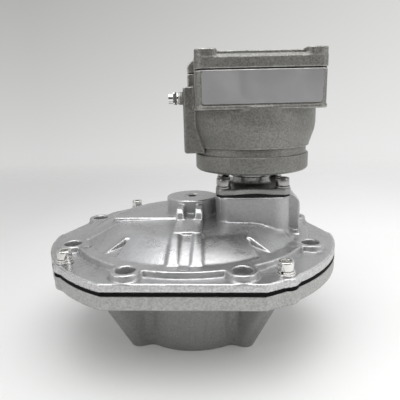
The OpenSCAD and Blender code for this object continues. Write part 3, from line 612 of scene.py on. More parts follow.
def sheet_material(name, colour, roughness):
    """Bare anodised sheet: an even satin tone, a few faint handling streaks."""
    material, t, shader, place = start_material(name, 0.7, roughness)
    haze = t.noise(place, 45, 3, 0.5, 0.6)
    fine = t.noise(place, 1900, 2)
    tone = t.spread(t.plus(t.times(haze, 0.7), t.times(fine, 0.3)), 0.3, 0.7)
    t.feed(shader["Base Color"], t.mix(tone, scaled(colour, 0.92), scaled(colour, 1.07)))
    t.feed(shader["Roughness"], t.spread(haze, 0.3, 0.7, roughness - 0.05, roughness + 0.06))
    t.bump(shader, fine, 0.2, 0.00003)
    return material


def rubber_material(name, colour, roughness):
    """Moulded rubber: dull, faint bloom and a fine bump."""
    material, t, shader, place = start_material(name, 0.0, roughness)
    bloom = t.noise(place, 90, 4)
    t.feed(shader["Base Color"], t.mix(t.spread(bloom, 0.35, 0.75), colour, scaled(colour, 1.8, 0.003)))
    t.feed(shader["Roughness"], t.spread(bloom, 0.3, 0.7, roughness - 0.06, roughness + 0.1))
    t.feed(shader["Specular IOR Level"], 0.12)
    t.bump(shader, t.noise(place, 1400, 3), 0.4, 0.00005)
    return material


def plastic_material(name, colour, roughness):
    """Moulded plastic: even colour, slight flow marks."""
    material, t, shader, place = start_material(name, 0.0, roughness)
    flow = t.noise(place, 70, 3, 0.5, 0.8)
    t.feed(shader["Base Color"], t.mix(t.spread(flow, 0.3, 0.75), scaled(colour, 0.9), scaled(colour, 1.06)))
    t.feed(shader["Roughness"], t.spread(flow, 0.3, 0.7, roughness - 0.04, roughness + 0.05))
    t.bump(shader, t.noise(place, 900, 2), 0.2, 0.00003)
    return material


def wound_material(name, colour):
    """Enamelled wire laid in layers: rings along Z at the wire's pitch, with painted shade in the grooves
    between turns.
    """
    material, t, shader, place = start_material(name, 0.85, 0.32)
    wave = t.math("SINE", t.times(t.split(place)["Z"], TURN/0.0006))
    # Painted shade: the colour falls to 0.55 in the grooves between turns of wire
    t.feed(shader["Base Color"], t.mix(t.spread(wave, -1.0, 1.0), scaled(colour, 0.55), colour))
    t.bump(shader, wave, 0.6, 0.00015)
    return material


# Colour and roughness of each plain finish
TURNED = {
    "bright_screw": ((0.80, 0.79, 0.77), 0.17), "dark_screw": ((0.40, 0.39, 0.38), 0.24),
    "plug_zinc": ((0.52, 0.52, 0.50), 0.34), "plate_steel": ((0.60, 0.60, 0.60), 0.30),
    "stainless": ((0.64, 0.63, 0.62), 0.26), "spring_steel": ((0.46, 0.47, 0.48), 0.30),
    "yoke_steel": ((0.42, 0.43, 0.44), 0.36), "brass": ((0.74, 0.55, 0.27), 0.28),
}
RUBBER = {"diaphragm_rubber": ((0.003, 0.003, 0.003), 0.8), "seal_rubber": ((0.018, 0.018, 0.018), 0.55)}
PLASTIC = {"nylon": ((0.78, 0.75, 0.66), 0.42), "nylon_dark": ((0.06, 0.06, 0.06), 0.45)}


def make_finishes(scene):
    """Every finish by the name of its material slot."""
    f = scene.valve_finish
    cast_grain_group()
    edge_tone_group()
    turned_group()
    finishes = {
        "body_casting": cast_material(
            "body_casting", tuple(f.body_colour), 0.42, 0.55, 0.35, 0.5, 0.5, 0.8,
            speck=0.22, rim=(0.74, 0.74, 0.72), band=(0.0600, 0.0702), walls=0.25),
        "cover_casting": cast_material(
            "cover_casting", tuple(f.cover_colour), 0.29, 0.32, 0.25, 0.4, 0.7, 0.84,
            speck=0.14, rim=(0.86, 0.86, 0.85), band=(0.0720, 0.0770), walls=0.3),
        "enclosure_casting": cast_material(
            "enclosure_casting", tuple(f.enclosure_colour), 0.40, 0.9, 0.3, 0.4, 0.9, 0.85, 0.00030,
            speck=0.55, rim=(0.70, 0.69, 0.66)),
        "bonnet_metal": cast_material("bonnet_metal", (0.34, 0.34, 0.33), 0.34, 0.4, 0.2, 0.5, 0.7),
        "copper_wire": wound_material("copper_wire", (0.70, 0.33, 0.16)),
        "label_metal": sheet_material("label_metal", (0.46, 0.455, 0.465), 0.42),
    }
    for make, looks in ((turned_material, TURNED), (rubber_material, RUBBER), (plastic_material, PLASTIC)):
        finishes.update({name: make(name, *look) for name, look in looks.items()})
    return finishes


FINISHES = {}


def finish(name):
    """The material of that name; the finishes are made once."""
    if not FINISHES:
        FINISHES.update(make_finishes(bpy.context.scene))
    return FINISHES[name]


# ------------------------------------------------------------------ forms shared by the castings

def flange_plan(x, y):
    """Round plate with flats front and back, slanted flats behind its sides and four ears."""
    plan = np.maximum(np.hypot(x, y) - FLANGE_R, np.abs(y) - FLANGE_FLAT)
    a = math.radians(18.3)
    cut = np.maximum(107.2 - (np.abs(x)*math.cos(a) + y*math.sin(a)), 0.05 - y)
    plan = np.maximum(plan, -cut)
    for cx, cy in SCREWS:
        plan = blend(plan, rod(x, y, cx, cy, 8.2), 2.5)
    return plan


def holes(casting, radius, places, z0, z1, width=0.35):
    """Round vertical holes at the given places."""
    for cx, cy in places:
        casting.carve(lambda x, y, z, cx=cx, cy=cy: prism(rod(x, y, cx, cy, radius), z, z0, z1, 0),
                      (cx - radius, cy - radius, z0), (cx + radius, cy + radius, z1), width)


def block(casting, place, half, r, z0, z1, edge, width, carve=False):
    """Upright block with round corners in plan, joined to a casting or carved from it."""
    (cx, cy), (half_w, half_d) = place, half
    act = casting.carve if carve else casting.join
    act(lambda x, y, z: prism(oblong(x - cx, y - cy, half_w, half_d, r), z, z0, z1, edge),
        (cx - half_w, cy - half_d, z0), (cx + half_w, cy + half_d, z1), width)


def turned(casting, profile, width=0.0, cx=0.0, carve=False):
    """Closed profile (r, z) carried round an upright axis, joined to a casting or carved from it."""
    act = casting.carve if carve else casting.join
    r, levels = max(u for u, v in profile), [v for u, v in profile]
    act(lambda x, y, z: outline(np.hypot(x - cx, y), z, profile),
        (cx - r, -r, min(levels)), (cx + r, r, max(levels)), width)


def circle_places(r, angles):
    """Points of a circle in plan at the given angles in degrees."""
    return [(r*math.cos(math.radians(a)), r*math.sin(math.radians(a))) for a in angles]


def turned_frame(x, y, angle):
    """Coordinates along and across a direction in plan."""
    c, s = math.cos(math.radians(angle)), math.sin(math.radians(angle))
    return x*c + y*s, y*c - x*s


BEVEL = 0.7071  # cosine of 45 degrees: turns a sum of two distances into the distance to a bevel
CENTRE = [(0, 0)]
WEB_ANGLES = (45, 135, 225, 315)

BOLTS = circle_places(BOLT_R, [22.5 + 45*i for i in range(8)])
SCREWS = circle_places(SCREW_R, SCREW_ANGLES)
BONNET_SCREWS = [(PILOT_X + x*22.3, y*22.3) for x in (-1, 1) for y in (-1, 1)]


def dome_curve(r, dome_r, crown):
    """Level of the dome's surface at a distance r from its axis.

    The tangent of a tilt that grows over the shoulder is summed from the foot inwards, then the
    sum is scaled to the crown's height.
    """
    out = np.array([0, 46, 56, 60, 63, 66.5, 75, 84.5])*dome_r/86
    tilt = np.array([0.5, 1.5, 4, 9, 21, 28, 31, 35])
    line = np.linspace(0, out[-1], 240)
    steps = np.tan(np.radians(np.interp(line, out, tilt)))*(line[1] - line[0])
    height = np.cumsum(steps[::-1])[::-1]
    height = height*(crown - PAD_TOP)/height[0]
    return np.interp(r, np.append(line, line[-1] + 4), np.append(PAD_TOP + height, PAD_TOP - 3))


# ------------------------------------------------------------------ properties

class ValveFinish(bpy.types.PropertyGroup):
    cover_colour: bpy.props.FloatVectorProperty(
        name="Cover colour", description="Base colour of the bright cover casting",
        default=(0.50, 0.50, 0.505), size=3, min=0, max=1, subtype="COLOR")
    body_colour: bpy.props.FloatVectorProperty(
        name="Body colour", description="Base colour of the valve body casting",
        default=(0.33, 0.33, 0.325), size=3, min=0, max=1, subtype="COLOR")
    enclosure_colour: bpy.props.FloatVectorProperty(
        name="Enclosure colour", description="Base colour of the coil enclosure",
        default=(0.245, 0.24, 0.225), size=3, min=0, max=1, subtype="COLOR")


class ValveCover(bpy.types.PropertyGroup):
    dome_radius: bpy.props.FloatProperty(
        name="Dome radius", description="Radius of the dome's foot on the pad",
        default=0.086, min=0.0845, max=0.0865, unit="LENGTH", subtype="DISTANCE")
    crown_height: bpy.props.FloatProperty(
        name="Crown height", description="Height of the dome over the pad",
        default=0.0132, min=0.011, max=0.018, unit="LENGTH", subtype="DISTANCE")
    boss_radius: bpy.props.FloatProperty(
        name="Boss radius", description="Radius of the round spring boss",
        default=0.0206, min=0.019, max=0.021, unit="LENGTH", subtype="DISTANCE")
    boss_height: bpy.props.FloatProperty(
        name="Boss height", description="Height of the round spring boss over the pad",
        default=0.0284, min=0.024, max=0.034, unit="LENGTH", subtype="DISTANCE")


class ValveBody(bpy.types.PropertyGroup):
    tube_radius: bpy.props.FloatProperty(
        name="Tube radius", description="Outer radius of the outlet tube",
        default=0.0545, min=0.053, max=0.057, unit="LENGTH", subtype="DISTANCE")
    web_thickness: bpy.props.FloatProperty(
        name="Web thickness", description="Thickness of the four webs",
        default=0.015, min=0.010, max=0.018, unit="LENGTH", subtype="DISTANCE")


class ValveStage(bpy.types.PropertyGroup):
    floor_colour: bpy.props.FloatVectorProperty(
        name="Floor colour", description="Colour of the floor under the valve",
        default=(0.80, 0.80, 0.79), size=3, min=0, max=1, subtype="COLOR")
    lamp_power: bpy.props.FloatProperty(
        name="Lamp power", description="Power of the large lamp over the valve",
        default=4.7, min=0, max=100, unit="POWER")


# ------------------------------------------------------------------ operators

class VALVE_OT_stage(bpy.types.Operator):
    """Camera at the photo's angle, pale floor and backdrop, soft lamps"""
    bl_idname = "valve.stage"
    bl_label = "Stage"

    def execute(self, context):
        scene = context.scene
        az, el, roll = (math.radians(v) for v in (3.309, 13.088, -1.401))
        back = np.array([math.sin(az)*math.cos(el), -math.cos(az)*math.cos(el), math.sin(el)])
        right = np.array([math.cos(az), math.sin(az), 0.0])
        up = np.cross(back, right)
        side = math.cos(roll)*right + math.sin(roll)*up
        top = -math.sin(roll)*right + math.cos(roll)*up
        data = bpy.data.cameras.new("photo_camera")
        data.lens = 37.09
        data.sensor_width = 36
        data.sensor_fit = "HORIZONTAL"
        data.clip_start = 0.01
        camera = bpy.data.objects.new("photo_camera", data)
        scene.collection.objects.link(camera)
        place = np.eye(4)
        place[:3, 0], place[:3, 1], place[:3, 2] = side, top, back
        place[:3, 3] = (0.02564, -0.33326, 0.18389)
        camera.matrix_world = mathutils.Matrix(place.tolist())
        scene.camera = camera

        scene.view_settings.view_transform = "Standard"
        self.world(scene)
        self.floor(scene)
        power = scene.valve_stage.lamp_power
        self.lamp(scene, "top_lamp", (0.05, -0.22, 0.80), (0.03, -0.04, 0.1), 0.8, power)
        self.lamp(scene, "left_lamp", (-0.75, -0.55, 0.55), (0.0, 0.0, 0.1), 0.5, power*0.42)
        self.lamp(scene, "right_lamp", (0.85, -0.35, 0.50), (0.03, 0.0, 0.1), 0.5, power*0.30)
        return {"FINISHED"}

    def world(self, scene):
        """Room whose light falls off in front, while the camera itself sees a pale backdrop."""
        world = bpy.data.worlds.new("studio")
        scene.world = world
        world.use_nodes = True
        t = Tree(world.node_tree)
        t.nodes.clear()
        out = t.nodes.new("ShaderNodeOutputWorld")
        room = t.nodes.new("ShaderNodeBackground")
        way = t.split(t.coordinate("Generated"))
        across = t.spread(way["X"], -0.40, 0.45)
        low = t.mix(across, (0.74, 0.745, 0.735), (0.93, 0.935, 0.925))
        high = t.mix(across, (0.50, 0.50, 0.485), (0.78, 0.785, 0.77))
        wall = t.mix(t.spread(way["Z"], -0.10, 0.22), low, high)
        above = t.spread(way["Z"], 0.30, 0.85)
        t.feed(room.inputs["Color"], t.mix(above, wall, (0.97, 0.98, 1.0)))
        depth = t.spread(way["Y"], -0.85, 0.10, 0.12, 0.90)
        shown = t.times(t.nodes.new("ShaderNodeLightPath").outputs["Is Camera Ray"], 0.90)
        t.feed(room.inputs["Strength"], t.math("MAXIMUM", depth, shown))
        t.feed(out.inputs["Surface"], room.outputs[0])

    def floor(self, scene):
        """Floor paper, a little brighter to the camera, that fades into the backdrop behind the valve; its
        colour and glow are painted lighter from left to right as a fall-off of light.
        """
        side = 12
        grid = np.meshgrid(np.linspace(-2.2, 2.2, side), np.linspace(-1.6, 3.2, side), indexing="ij")
        points = np.stack([*grid, np.zeros((side, side))], -1).reshape(-1, 3)
        i, j = np.meshgrid(np.arange(side - 1), np.arange(side - 1), indexing="ij")
        first = i*side + j
        quads = np.stack([first, first + side, first + side + 1, first + 1], -1).reshape(-1, 4)
        mesh = bpy.data.meshes.new("floor")
        mesh.from_pydata(points.tolist(), [], quads.tolist())
        floor = bpy.data.objects.new("floor", mesh)
        scene.collection.objects.link(floor)
        material, t, shader, place = start_material("floor_paper", 0.0, 0.75)
        t.feed(shader["Specular IOR Level"], 0.2)
        tint = tuple(scene.valve_stage.floor_colour)
        spot = t.split(place)
        # Painted light: the paper's colour is darker on the left and full on the right, a painted fall-off of
        # light
        t.feed(shader["Base Color"], t.mix(t.spread(spot["X"], -0.30, 0.30), scaled(tint, 0.84), tint))
        out = next(n for n in t.nodes if n.type == "OUTPUT_MATERIAL")
        paper = next(n for n in t.nodes if n.type == "BSDF_PRINCIPLED").outputs[0]
        ray = t.nodes.new("ShaderNodeLightPath").outputs
        shown = t.math("MAXIMUM", ray["Is Camera Ray"], ray["Is Glossy Ray"])
        shown = t.math("MAXIMUM", shown, ray["Is Transmission Ray"])
        glow = t.nodes.new("ShaderNodeEmission")
        t.feed(glow.inputs["Color"], (1, 1, 0.985, 1))
        # Painted light: the glow seen by the camera and in reflections also grows from left to right
        t.feed(glow.inputs["Strength"], t.times(shown, t.spread(spot["X"], -0.30, 0.30, 0.03, 0.16)))
        both = t.nodes.new("ShaderNodeAddShader")
        t.feed(both.inputs[0], paper)
        t.feed(both.inputs[1], glow.outputs[0])
        fade = t.nodes.new("ShaderNodeMixShader")
        t.feed(fade.inputs["Fac"], t.times(shown, t.spread(spot["Y"], 0.25, 1.0)))
        t.feed(fade.inputs[1], both.outputs[0])
        t.feed(fade.inputs[2], t.nodes.new("ShaderNodeBsdfTransparent").outputs[0])
        t.feed(out.inputs["Surface"], fade.outputs[0])
        mesh.materials.append(material)

    def lamp(self, scene, name, place, target, size, power):
        """Square lamp at a place that faces a target."""
        data = bpy.data.lights.new(name, "AREA")
        data.size = size
        data.energy = power
        lamp = bpy.data.objects.new(name, data)
        scene.collection.objects.link(lamp)
        back = np.array(place) - np.array(target)
        back = back/np.linalg.norm(back)
        right = np.cross((0.0, 1.0, 0.0), back)
        right = right/np.linalg.norm(right)
        matrix = np.eye(4)
        matrix[:3] = np.stack([right, np.cross(back, right), back, place], 1)
        lamp.matrix_world = mathutils.Matrix(matrix.tolist())


class VALVE_OT_body(bpy.types.Operator):
    """Valve body: flange ring, outlet tube and four webs in one casting"""
    bl_idname = "valve.body"
    bl_label = "Valve body"

    def execute(self, context):
        props = context.scene.valve_body
        tube_r = props.tube_radius*1000
        half = props.web_thickness*500
        c = Casting((-115.5, -103, 0), (115.5, 103, FLANGE_TOP))

        def flange(x, y, z):
            """Flange plan with a round hole, raised between its two faces."""
            ring = np.maximum(flange_plan(x, y), 80 - np.hypot(x, y))
            return prism(ring, z, FLANGE_UNDER, FLANGE_TOP, 0.6)
        c.join(flange, (-116, -103, FLANGE_UNDER), (116, 103, FLANGE_TOP))
        tube = [(37, 0), (tube_r - 1.5, 0), (tube_r, 1.5), (tube_r, 45.5), (tube_r - 2, 51.5), (44.5, 63),
                (44.5, 68), (43.5, 69), (40, 69), (37, 67)]
        turned(c, tube)
        for angle, (cx, cy) in zip(WEB_ANGLES, circle_places(72, WEB_ANGLES)):
            def web(x, y, z, angle=angle):
                """Plate along a radius whose round outer edge leans outwards with height."""
                u, v = turned_frame(x, y, angle)
                lean = (u - (64 - half + 0.54*z))*0.88
                edge = np.hypot(np.maximum(lean, 0), v) - half
                plan = np.maximum(np.maximum(edge, np.abs(v) - half), 44 - u)
                return prism(plan, z, 0, 64.3, 1.0)
            c.join(web, (cx - 36, cy - 36, 0), (cx + 36, cy + 36, 64.3), 6)
        holes(c, 44.55, CENTRE, -3, 40, 0.5)
        turned(c, [(30, -3), (49, -3), (44.5, 1.5), (30, 1.5)], 0.3, carve=True)
        holes(c, 38.5, CENTRE, 35, 75, 0.8)
        turned(c, [(42, 11.85), (48.9, 11.85), (48.9, 16.15), (42, 16.15)], 0.2, carve=True)
        holes(c, 6.5, BOLTS, FLANGE_UNDER - 3, FLANGE_TOP + 3, 0.4)
        holes(c, 3.05, SCREWS, FLANGE_UNDER - 3, FLANGE_TOP + 3, 0.3)
        p, faces, bulge = skin(c, 1.12)
        p = np.clip(p, (-FLANGE_R, -FLANGE_FLAT, 0), (FLANGE_R, FLANGE_FLAT, FLANGE_TOP))
        make_piece("body_casting_skin", p, faces, "body_casting", "root", ["valve_body"], bulge)
        return {"FINISHED"}


class VALVE_OT_cover(bpy.types.Operator):
    """Cover casting: domed shell, bosses, lug, ribs, buttresses, pedestal and exhaust arch"""
    bl_idname = "valve.cover"
    bl_label = "Cover"

    def execute(self, context):
        props = context.scene.valve_cover
        dome_r = props.dome_radius*1000
        crown = PAD_TOP + props.crown_height*1000
        boss_r = props.boss_radius*1000
        boss_top = PAD_TOP + props.boss_height*1000
        c = Casting((-115.5, -103, COVER_UNDER), (115.5, 103, PEDESTAL_TOP))
        c.join(lambda x, y, z: prism(flange_plan(x, y), z, COVER_UNDER, COVER_TOP, 0.55),
               (-116, -103, COVER_UNDER), (116, 103, COVER_TOP))

        def pad(x, y, z):
            """Disc with a lobe at each bolt, its wall drafted inwards with height."""
            plan = np.hypot(x, y) - 95.2
            for cx, cy in BOLTS:
                plan = blend(plan, rod(x, y, cx, cy, 11.0), 3)
            drafted = plan + 0.22*(z - COVER_TOP)
            return prism(drafted, z, COVER_TOP - 3, PAD_TOP, 0.5)
        c.join(pad, (-109, -109, COVER_TOP - 3), (109, 109, PAD_TOP), 1.3)

        def dome(x, y, z):
            """Space under the dome's curve, scaled by the mean cosine of its tilt."""
            r = np.hypot(x, y)
            return np.maximum((z - dome_curve(r, dome_r, crown))*0.93, r - dome_r - 3)
        c.join(dome, (-90, -90, PAD_TOP - 3), (90, 90, crown), 0.8)
        brace = [(54, PAD_TOP - 3), (54, crown - 2.0), (64, crown - 2.6), (dome_r + 0.6, PAD_TOP + 0.9),
                 (dome_r + 1, PAD_TOP), (dome_r + 1, PAD_TOP - 3)]
        for angle, width, edge, fillet in ((45, 6, 0.7, 1.2), (135, 6, 0.7, 1.2), (15, 17, 1.8, 3),
                                           (-165, 17, 1.8, 3), (165, 17, 1.8, 3)):
            def buttress(x, y, z, angle=angle, width=width, edge=edge):
                """Brace outline along a radius, given a width across it."""
                u, v = turned_frame(x, y, angle)
                return prism(outline(u, z, brace), v, -width/2, width/2, edge)
            (cx, cy), = circle_places(72, [angle])
            c.join(buttress, (cx - 24, cy - 24, PAD_TOP - 3), (cx + 24, cy + 24, crown), fillet)
        slope_side = [(-2, PAD_TOP - 3), (-2, crown - 3.4), (0.5, crown - 3.6), (16.2, PAD_TOP + 0.4),
                      (16.3, PAD_TOP - 3)]
        for way in (-1, 1):
            def fin(x, y, z, way=way):
                """Thin plate that runs down the dome beside the front notch, the same on both sides."""
                u, v = turned_frame(x*way - 44.8, y + 52.2, -24)
                return prism(outline(u, z, slope_side), v, -2.9, 2.9, 0.5)
            c.join(fin, (53*way - 13, -66, PAD_TOP - 3), (53*way + 13, -46, crown), 0.5)

            def hollow(x, y, z, way=way):
                """Triangle in plan beside the fin, over a floor that rises inwards."""
                along = (x*way - 43.5)*-0.407 - (y + 55)*0.913
                across = (x*way - 43.5)*0.922 + (y + 55)*0.386
                inward = ((x*way - 49.4)*-7.5 + (y + 69.1)*8.9)/11.64
                plan = np.maximum(np.maximum(-along - 0.1, -across), np.abs(inward - 7.1) - 7.1)
                return np.maximum(plan, -(z - PAD_TOP - 0.30*inward)*0.96)
            c.carve(hollow, (51*way - 11, -73, PAD_TOP + 0.02), (51*way + 11, -50, crown + 3), 0.3)
        for sign in (-1, 1):
            def rib(x, y, z, sign=sign):
                """Upright strip beside the lug, cut off a little over the dome's curve."""
                plan = (np.abs(x - sign*8.0) - 3.9)*0.8
                plan = np.maximum(plan + 0.6*np.maximum(z - PAD_TOP - 4, 0)*0.12, np.abs(y + 70) - 15)
                top = (z - dome_curve(np.hypot(x, y), dome_r, crown) - 1.7)*0.9
                return -blend(-plan, -top, 1.6)
            c.join(rib, (sign*8.0 - 4, -86, PAD_TOP - 3), (sign*8.0 + 4, -55, crown + 2), 1.6)

        def bar(x, y, z):
            """Bar beside the boss with a round end."""
            plan = blend(oblong(x + 33, y + 13.75, 25, 5.75, 0.5), rod(x, y, -58, -13.75, 5.75), 0.5)
            return prism(plan, z, PAD_TOP, crown + 1.6, 0.7)
        c.join(bar, (-65, -20, PAD_TOP), (-8, -8, crown + 1.6), 1.6)
        c.join(lambda x, y, z: prism(np.hypot(x, y) - boss_r, z, PAD_TOP, boss_top, 0.8),
               (-boss_r, -boss_r, PAD_TOP), (boss_r, boss_r, boss_top), 3)
        lug_top = boss_top - 3.2
        lug = [(-16.6, PAD_TOP + 6), (-16.6, lug_top), (-boss_r - 12, lug_top),
               (-boss_r - 14.6, lug_top - 2.6), (-boss_r - 16.5, crown + 4.2), (-57, crown + 1.2),
               (-57.6, PAD_TOP + 8), (-57.6, PAD_TOP + 6)]
        c.join(lambda x, y, z: prism(outline(y, z, lug), x, -9.8, 9.8, 0.6),
               (-9.8, -58, PAD_TOP + 6), (9.8, -16, lug_top), 1.6)
        c.carve(lambda x, y, z: prism(oblong(x, z - lug_top, 4.3, 7, 2), y, -52, -boss_r + 0.3, 0),
                (-4.3, -52, lug_top - 7), (4.3, -boss_r + 0.5, lug_top + 3), 0.7)
        block(c, (PILOT_X, 0), (28.5, 30), 13.5, PAD_TOP - 3, PEDESTAL_TOP, 0.6, 2.4)

        def toe(x, y, z):
            """Plate that sweeps down from the pedestal in a hollow arc."""
            u, v = turned_frame(x - 60.3, y + 22.5, -52)
            side = np.maximum(np.maximum(PAD_TOP - 3 - z, z - PAD_TOP - 16), np.maximum(-u, u - 27))
            side = np.maximum(side, 27 - np.hypot(u - 27, z - PAD_TOP - 27.3))
            return prism(side, v, -6.5, 6.5, 1.2)
        c.join(toe, (48, -52, PAD_TOP - 3), (84, -12, PAD_TOP + 16), 1.6)

        def arch(x, y, z):
            """Half circle on upright sides, carried along Y."""
            round_top = np.hypot(x - 75.7, np.maximum(z - PEDESTAL_TOP + 11.3, 0)) - 11
            return prism(np.maximum(round_top, PAD_TOP - 3 - z), y, -12, 24, 1.6)
        c.join(arch, (64, -12, PAD_TOP - 3), (87, 24, PEDESTAL_TOP - 0.3), 1.2)
        block(c, (75.3, 3), (10.6, 24), 1, PAD_TOP - 3, PAD_TOP + 1.6, 0.8, 1.0)
        chamber = [(-1, COVER_UNDER - 3), (78, COVER_UNDER - 3), (78, COVER_UNDER), (75, PAD_TOP - 2),
                   (59, crown - 9), (44, crown - 5.5), (-1, crown - 5.5)]
        turned(c, chamber, 0.6, carve=True)
        holes(c, 15.2, CENTRE, COVER_UNDER, boss_top - 10.5)
        holes(c, 6.6, CENTRE, boss_top - 12, boss_top + 3)
        holes(c, 6.5, BOLTS, COVER_UNDER - 3, PAD_TOP + 3, 0.5)
        holes(c, 3.3, SCREWS, COVER_UNDER - 3, PAD_TOP + 3, 0.3)
        holes(c, 13, [(PILOT_X, 0)], PEDESTAL_TOP - 8, PEDESTAL_TOP + 3)
        holes(c, 3, [(PILOT_X - 9, 0)], COVER_UNDER, PEDESTAL_TOP)
        holes(c, 4.5, [(PILOT_X, 0)], PAD_TOP + 12.5, PEDESTAL_TOP)
        holes(c, 3.05, BONNET_SCREWS, PEDESTAL_TOP - 13, PEDESTAL_TOP + 3)
        c.carve(lambda x, y, z: prism(np.hypot(x - 75.7, z - PAD_TOP - 12.5) - 5.8, y, 10, 30, 0),
                (69, 10, 88), (82, 30, 101), 0.4)
        p, faces, bulge = skin(c, 1.08)
        p = np.clip(p, (-FLANGE_R, -FLANGE_FLAT, COVER_UNDER), (FLANGE_R, FLANGE_FLAT, PEDESTAL_TOP))
        make_piece("cover_casting_skin", p, faces, "cover_casting", "root", ["cover"], bulge)
        button = lathe(soften([(0, -1.5), (3.9, -1.5), (3.9, 0.75), (0, 0.75)], 0.25), 48)
        points, faces = stacked([moved(button, (cx, cy, PAD_TOP, 0))
                                 for cx, cy in circle_places(89.4, [-90 + 60*i for i in range(6)])])
        make_piece("cover_buttons", points, faces, "cover_casting", "root", ["cover"])
        return {"FINISHED"}


class VALVE_OT_fasteners(bpy.types.Operator):
    """Cover screws and bonnet screws with their washers"""
    bl_idname = "valve.fasteners"
    bl_label = "Fasteners"

    def execute(self, context):
        plain = lathe(soften([[3.2, 0], [6.2, 0], [6.2, WASHER_H], [3.2, WASHER_H]], 0.3), 72)
        ring = split_washer(11.4, 6.6, WASHER_H)
        cover_screw = socket_screw(6, 10.2, 6, 5, 19.1)
        bonnet_screw = socket_screw(6, 10.2, 6, 5, 19.9)
        turns = [0.3, 1.4, 2.6, 4.1]
        plate_top = PEDESTAL_TOP + 6.3
        sets = [
            ("cover_washer", plain, SCREWS, COVER_TOP, "bright_screw"),
            ("cover_spring_washer", ring, SCREWS, COVER_TOP + WASHER_H, "bright_screw"),
            ("cover_screw", cover_screw, SCREWS, COVER_TOP + 2*WASHER_H, "bright_screw"),
            ("bonnet_washer", ring, BONNET_SCREWS, plate_top, "dark_screw"),
            ("bonnet_screw", bonnet_screw, BONNET_SCREWS, plate_top + WASHER_H, "dark_screw"),
        ]
        for name, part, places, z, slot in sets:
            p, faces = stacked([moved(part, (x, y, z, turn)) for (x, y), turn in zip(places, turns)])
            make_piece(name + "_set", p, faces, slot, "root", [name + "s"])
        return {"FINISHED"}


class VALVE_OT_pilot(bpy.types.Operator):
    """Bonnet plate with its neck, under the coil enclosure"""
    bl_idname = "valve.pilot"
    bl_label = "Pilot bonnet"

    def execute(self, context):
        z0 = PEDESTAL_TOP + 1.5
        z1 = z0 + 4.8
        c = Casting((19, -29, z0), (78, 29, BASE_UNDER))

        def plate(x, y, z):
            """Square plate with a round waist cut into each side."""
            u, v = np.abs(x - PILOT_X), np.abs(y)
            plan = oblong(u, v, 28.5, 28.5, 6.2)
            waist = np.minimum(np.hypot(u - 56.5, v), np.hypot(u, v - 56.5)) - 30.2
            return prism(-blend(-plan, waist, 2.0), z, z0, z1, 0.7)
        c.join(plate, (20, -29, z0), (77, 29, z1))
        neck = [(-1, z0 + 1), (20, z0 + 1), (20, z1), (17.5, z1), (15.2, z1 + 1.3), (14.5, z1 + 3),
                (14.5, BASE_UNDER - 6.3), (14.8, BASE_UNDER - 6), (17.2, BASE_UNDER - 6),
                (17.5, BASE_UNDER - 5.7), (17.5, BASE_UNDER), (-1, BASE_UNDER)]
        turned(c, neck, 0.6, PILOT_X)
        holes(c, 8.15, [(PILOT_X, 0)], z0 - 3, BASE_UNDER + 3)
        holes(c, 3.3, BONNET_SCREWS, z0 - 3, z1 + 3)
        p, faces, bulge = skin(c, 0.62)
        p[:, 2] = np.clip(p[:, 2], z0, BASE_UNDER)
        make_piece("pilot_bonnet_skin", p, faces, "bonnet_metal", "root", ["pilot_bonnet"], bulge)
        return {"FINISHED"}


